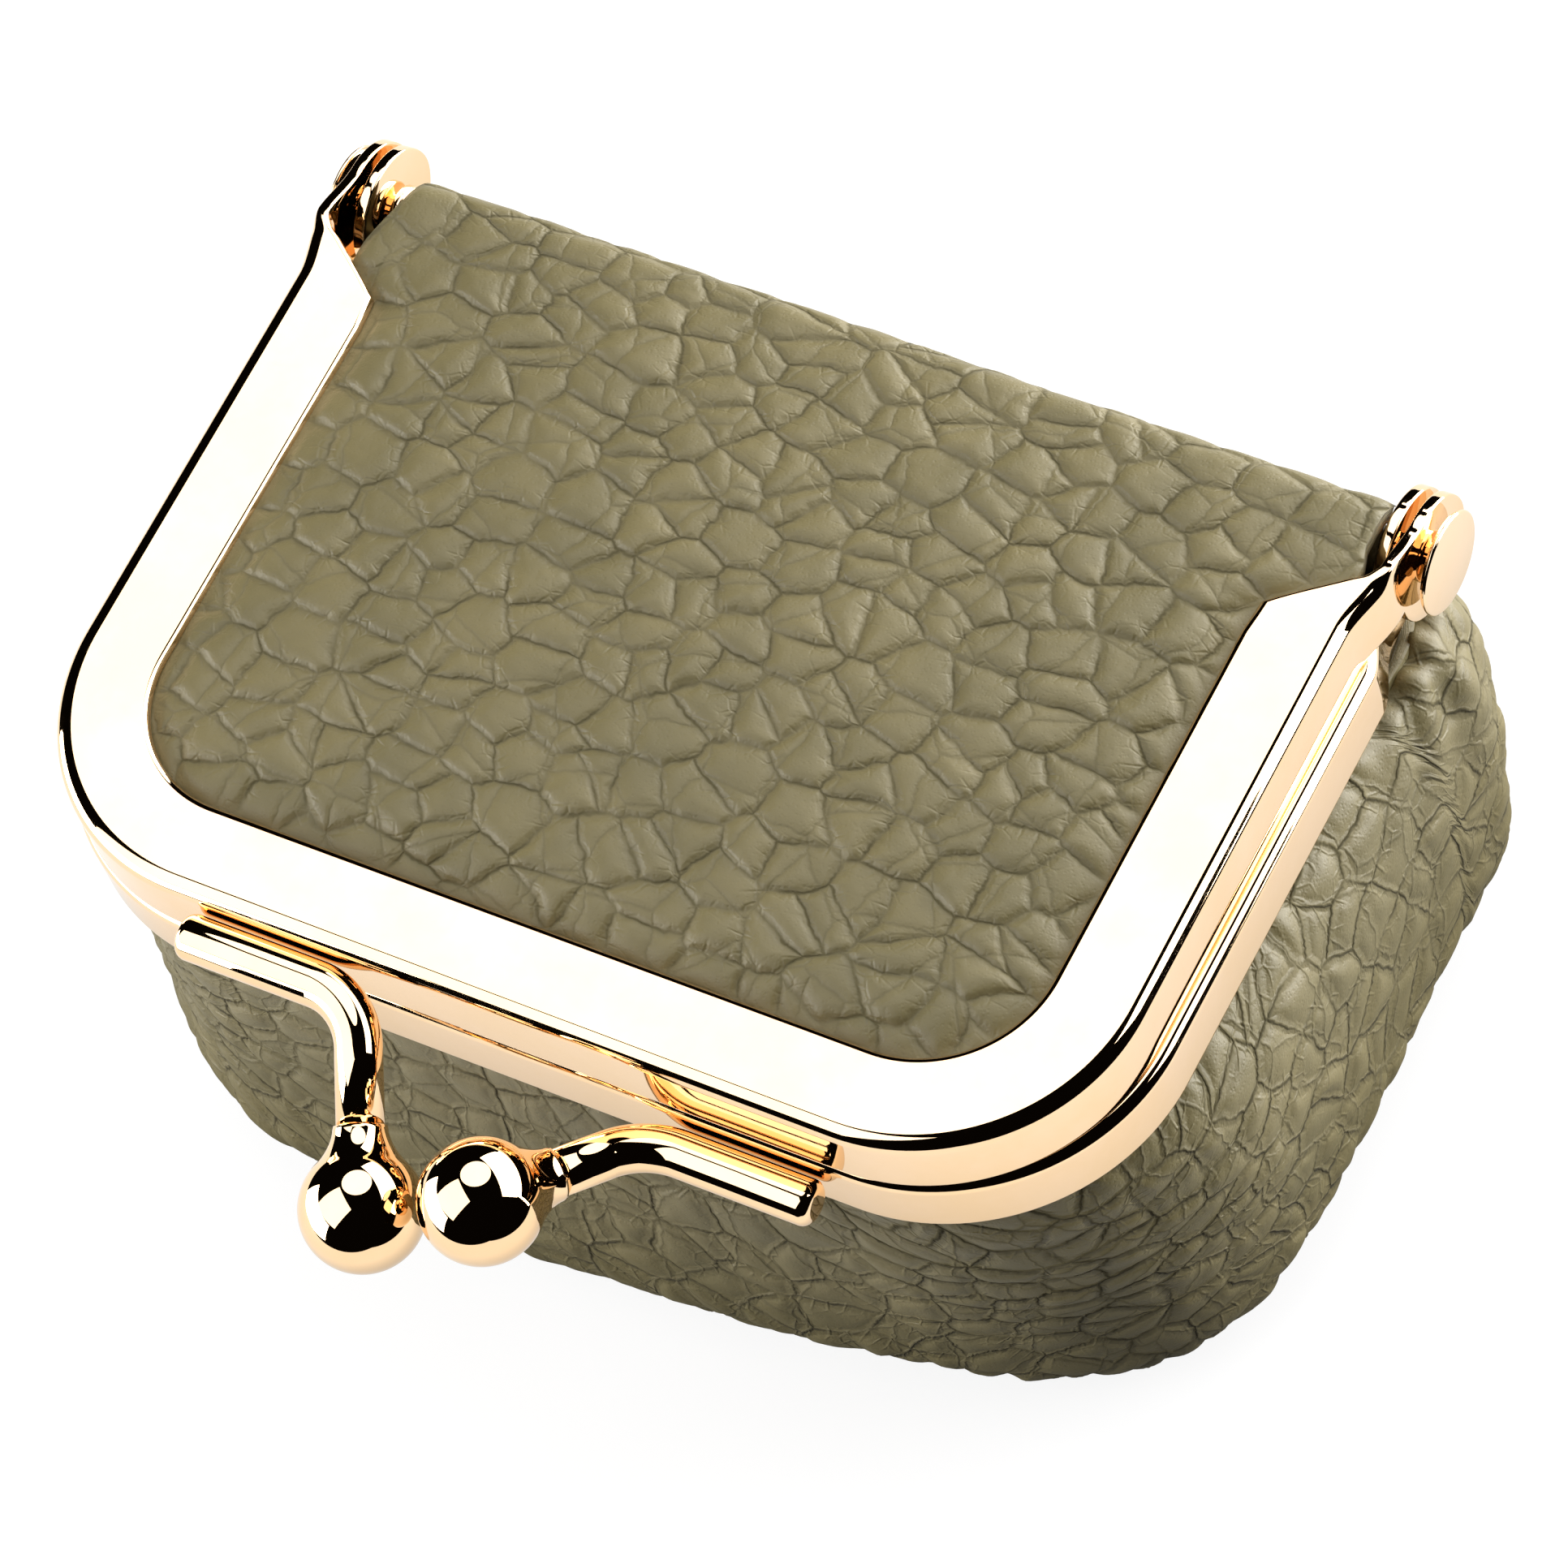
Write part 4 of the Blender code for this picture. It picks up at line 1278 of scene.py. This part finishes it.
def build_body_leather():
    """Deep bowl of pebbled leather. The two ends of its grain blend in the middle of the back."""
    count = round(body_girth / body_grid / coarse_every) * coarse_every
    outer = body_surface(skin_inset, 0, count, body_grid)
    normal = ring_normals(outer)
    rows = len(outer)
    flat = outer.reshape(-1, 3)
    local_y = flat[:, 1] - hinge.y
    drop = lid_top - flat[:, 2]
    corner = smooth_step(np.abs(flat[:, 0]), *squeeze_sides) * smooth_step(-local_y, *squeeze_ahead)
    squeeze = corner * corner_squeeze * (smooth_step(drop, lower_bottom_drop, squeeze_end) - 0.5)
    steps = np.linalg.norm(np.diff(outer, axis=0, prepend=outer[:1]), axis=-1)
    down = np.cumsum(steps, axis=0).reshape(-1)
    girth = count * body_grid
    round_way = np.tile(np.arange(count) * body_grid, rows)
    places = np.stack([round_way, down + squeeze, down * 0], axis=1) / body_growth
    beyond = np.where(round_way < girth / 2, 1, -1) * girth / body_growth
    share = 0.5 + 0.5 * smooth_step(np.minimum(round_way, girth - round_way), 0, seam_reach)
    pillow = measure_grain(places) * share
    pillow += measure_grain(places + beyond[:, None] * np.array((1, 0, 0))) * (1 - share)
    shown = smooth_step(drop, lower_bottom_drop - leather, lower_bottom_drop + leather)
    shown *= smooth_step(down, 0, 4 * seat_gap)
    low = 1 - smooth_step(drop, lid_top - base_edge_radius * foot_fade_share, lid_top - seat_gap)
    height = body_pillow * pillow * shown * low
    height += folds(flat, local_y, drop) * shown * low
    skin = flat + normal.reshape(-1, 3) * height[:, None]
    inner = body_surface(skin_inset + leather, leather, count // coarse_every, body_grid * coarse_every)
    points = np.concatenate([skin, inner.reshape(-1, 3)])
    faces = double_bowl_faces(rows, len(inner), count, coarse_every)
    thing = piece("leather_bowl", points, faces, olive, "body", ("body_leather",))
    # Grain shown on the body is raised, which deepens its creases and their painted shade
    set_grain(thing, places, body_relief_and_crease_shade * shown * low * (share * 2 - 1))


def build_body_lining():
    """Cloth bowl inside the leather one, a little puffed between its seams and the boards."""
    floor = leather + seat_gap + board + seat_gap
    outer = body_surface(skin_inset + leather + seat_gap, floor, lining_count, lining_grid)
    flat = outer.reshape(-1, 3)
    drop = lid_top - flat[:, 2]
    puff = np.abs(waves(flat, puff_wave, puff_seed)) * puff_height
    puff = puff * smooth_step(drop, bowl_top_drop, bowl_top_drop + puff_start)
    inner = flat - ring_normals(outer).reshape(-1, 3) * (lining + puff)[:, None]
    faces = double_bowl_faces(len(outer), len(outer), lining_count, 1)
    thing = piece("lining_bowl", np.concatenate([flat, inner]), faces, cloth, "body",
                  ("body_lining",))
    round_way = np.tile(np.arange(lining_count) * (lining_girth / lining_count), len(outer) * 2)
    set_cloth_map(thing, round_way, np.concatenate([drop, drop]), lining_girth)


def lid_outline():
    """Plan of the lid's lining: the rail's U, narrower between the ears."""
    half = half_width - skin_inset
    front = frame_depth - skin_inset
    radius = corner_radius - skin_inset
    neck = min(strip_half_width, half - shoulder_length)
    right = [(0, -front)]
    right += arc(half - radius, radius - front, radius, -1, 0, lid_lining_steps)
    right += [(half, -joggle_start), (neck, shoulder_length - joggle_start), (neck, lid_lining_back)]
    return both_sides(right)


def build_lid_lining():
    """Cloth on the underside of the lid, softly padded, with its edge tucked into the rail."""
    top = under_flange + leather + seat_gap + board + seat_gap
    outline = lid_outline()
    centre_y = -frame_depth / 2
    points = []
    for k, share in enumerate(lid_lining_shares):
        puff = lid_lining_puff * float(smooth_step(k, *lid_puff_rings))
        drop = top + (lining + puff if k else 0)
        points += [at(x * share, centre_y + (y - centre_y) * share, drop) for x, y in outline]
    faces = ring_faces(len(lid_lining_shares), len(outline))
    thing = piece("lid_lining_cloth", points, faces, cloth, "lid", ("lid_lining",))
    spots = np.array([tuple(p) for p in points])
    set_cloth_map(thing, spots[:, 0], spots[:, 1])


def build_cords():
    """Twisted paper cords wedged into both rails."""
    rails = (("upper", half_width, frame_depth, corner_radius, skin_inset + cord_radius,
              under_flange + leather + seat_gap + cord_radius, "lid"),
             ("lower", half_width + side_step, frame_depth + front_step, corner_radius + side_step,
              skin_inset + leather + seat_gap + lining + seat_gap + cord_radius,
              bowl_top_drop + cord_radius, "body"))
    for rail, half, depth, radius, inset, drop, body in rails:
        half, depth, radius = half - inset, depth - inset, radius - inset
        right = [(x, -depth) for x in np.linspace(0, half - radius, cord_front_steps)[:-1]]
        right += arc(half - radius, radius - depth, radius, -1, 0, cord_corner_steps)
        right += [(half, y) for y in np.linspace(radius - depth, -joggle_start, cord_side_steps)[1:]]
        line = [at(x, y, drop) for x, y in both_sides(right)]
        points, faces = tube_points(line, [cord_radius] * len(line), math.tau / cord_lay, cord_plies,
                                    cord_ply_depth)
        name = "binding_cord_" + rail
        piece(name + "_twisted", points, faces, paper, body, (name,))


build_rails()
build_rivets()
build_clasp()
build_strip()
build_body_leather()
build_body_lining()
build_lid_lining()
build_cords()
for name in ("lid_board", "base_board"):
    frame["nodes"][name].data.materials.clear()
    frame["nodes"][name].data.materials.append(card)


# Camera, at the photograph's viewing angle

camera_azimuth = math.radians(48.17)
camera_elevation = math.radians(57.975)
camera_roll = math.radians(-23.751)
camera_distance = 0.572631
camera_lens = 212.44
look_right = -0.003509
look_up = -0.024816
look_from_y = 0.004051

# Studio. A softbox has an azimuth, elevation, width and height in degrees, a brightness and a shape.
table_edges = (-0.20, 0.09, -0.145, 0.30)
table_lift = 0.84
table_colour = (0.20, 0.20, 0.20, 1)
white = (1, 1, 1, 1)
dark_room = (0.002, 0.0015, 0.001, 1)
fill_light = (0.04, 0.04, 0.04, 1)
table_glow = 0.83
# Painted shadow in reflections: the table's reflected glow fades for rays shorter than this reach
reflected_glow_shade_reach = (0.006, 0.050)
softbox_distance = 0.55
softboxes = (
    ("dish_above", 111, 70, 48, 48, 2.36, "DISK"),
    ("softbox_right_low", 60, -3, 76, 36, 11.5, "RECTANGLE"),
    ("softbox_right_high", 60, 33, 80, 36, 4.3, "RECTANGLE"),
    ("softbox_left_low", -148, 7, 62, 32, 8.0, "RECTANGLE"),
    ("softbox_left_high", -129, 47, 48, 48, 2.2, "RECTANGLE"),
)


def build_camera():
    back = Vector((math.sin(camera_azimuth) * math.cos(camera_elevation),
                   -math.cos(camera_azimuth) * math.cos(camera_elevation), math.sin(camera_elevation)))
    level = Vector((math.cos(camera_azimuth), math.sin(camera_azimuth), 0))
    up = back.cross(level)
    right = math.cos(camera_roll) * level + math.sin(camera_roll) * up
    up = math.cos(camera_roll) * up - math.sin(camera_roll) * level
    looked_at = Vector((0, hinge.y - look_from_y, lid_top)) + right * look_right + up * look_up
    lens = bpy.data.cameras.new("camera")
    lens.lens = camera_lens
    lens.clip_start = 0.01
    camera = add_object("camera", lens)
    axes = Matrix((right, up, back)).transposed().to_4x4()
    camera.matrix_world = Matrix.Translation(looked_at + back * camera_distance) @ axes
    bpy.context.scene.camera = camera


def build_floor():
    """Small grey table that takes the pouch's shadow. It glows white to the camera and in reflections,
    where its glow fades close by as a painted shadow.
    """
    low_x, high_x, low_y, high_y = table_edges
    mesh = bpy.data.meshes.new("table")
    corners = [(low_x, low_y, 0), (high_x, low_y, 0), (high_x, high_y, 0), (low_x, high_y, 0)]
    mesh.from_pydata(corners, [], [(0, 1, 2, 3)])
    floor = add_object("table", mesh)
    made, tree, shader = new_material("white_table")
    shader.inputs["Base Color"].default_value = table_colour
    shader.inputs["Roughness"].default_value = 0.9
    shader.inputs["Specular IOR Level"].default_value = 0.1
    shader.inputs["Emission Color"].default_value = white
    path = new_node(tree, "ShaderNodeLightPath").outputs
    # Painted shadow: glow seen in reflections fades when the table lies close to the reflecting surface
    mirrored_glow_with_shade = product(tree, ramp(tree, path["Ray Length"], *reflected_glow_shade_reach), table_glow, path["Is Glossy Ray"])
    lift = math_node(tree, "MULTIPLY_ADD", path["Is Camera Ray"], table_lift, mirrored_glow_with_shade)
    feed(tree, shader.inputs["Emission Strength"], lift)
    mesh.materials.append(made)


def build_world():
    """White behind the pouch for the camera, a dark room in reflections, and a little fill light."""
    world = bpy.data.worlds.new("studio")
    bpy.context.scene.world = world
    world.use_nodes = True
    tree = world.node_tree
    path = new_node(tree, "ShaderNodeLightPath").outputs
    room = mix_colour(tree, path["Is Diffuse Ray"], dark_room, fill_light)
    seen = mix_colour(tree, path["Is Camera Ray"], room, white)
    feed(tree, tree.nodes["Background"].inputs["Color"], seen)


def build_softbox(name, azimuth, elevation, width, height, brightness, shape):
    """Softbox round the pouch. Angles in degrees, as seen from the pouch, place it and size its face."""
    azimuth = math.radians(azimuth)
    elevation = math.radians(elevation)
    level = math.cos(elevation)
    towards = Vector((math.cos(azimuth) * level, math.sin(azimuth) * level, math.sin(elevation)))
    lamp = bpy.data.lights.new(name, "AREA")
    lamp.shape = shape
    lamp.size = 2 * softbox_distance * math.tan(math.radians(width / 2))
    lamp.size_y = 2 * softbox_distance * math.tan(math.radians(height / 2))
    area = lamp.size * lamp.size_y * (1 if shape == "RECTANGLE" else math.pi / 4)
    lamp.energy = brightness * math.pi * area
    thing = add_object(name, lamp)
    thing.location = Vector((0, 0, lid_top / 2)) + towards * softbox_distance
    thing.rotation_euler = towards.to_track_quat("Z", "Y").to_euler()


build_camera()
build_floor()
build_world()
for softbox in softboxes:
    build_softbox(*softbox)
bpy.context.scene.view_settings.view_transform = "Standard"
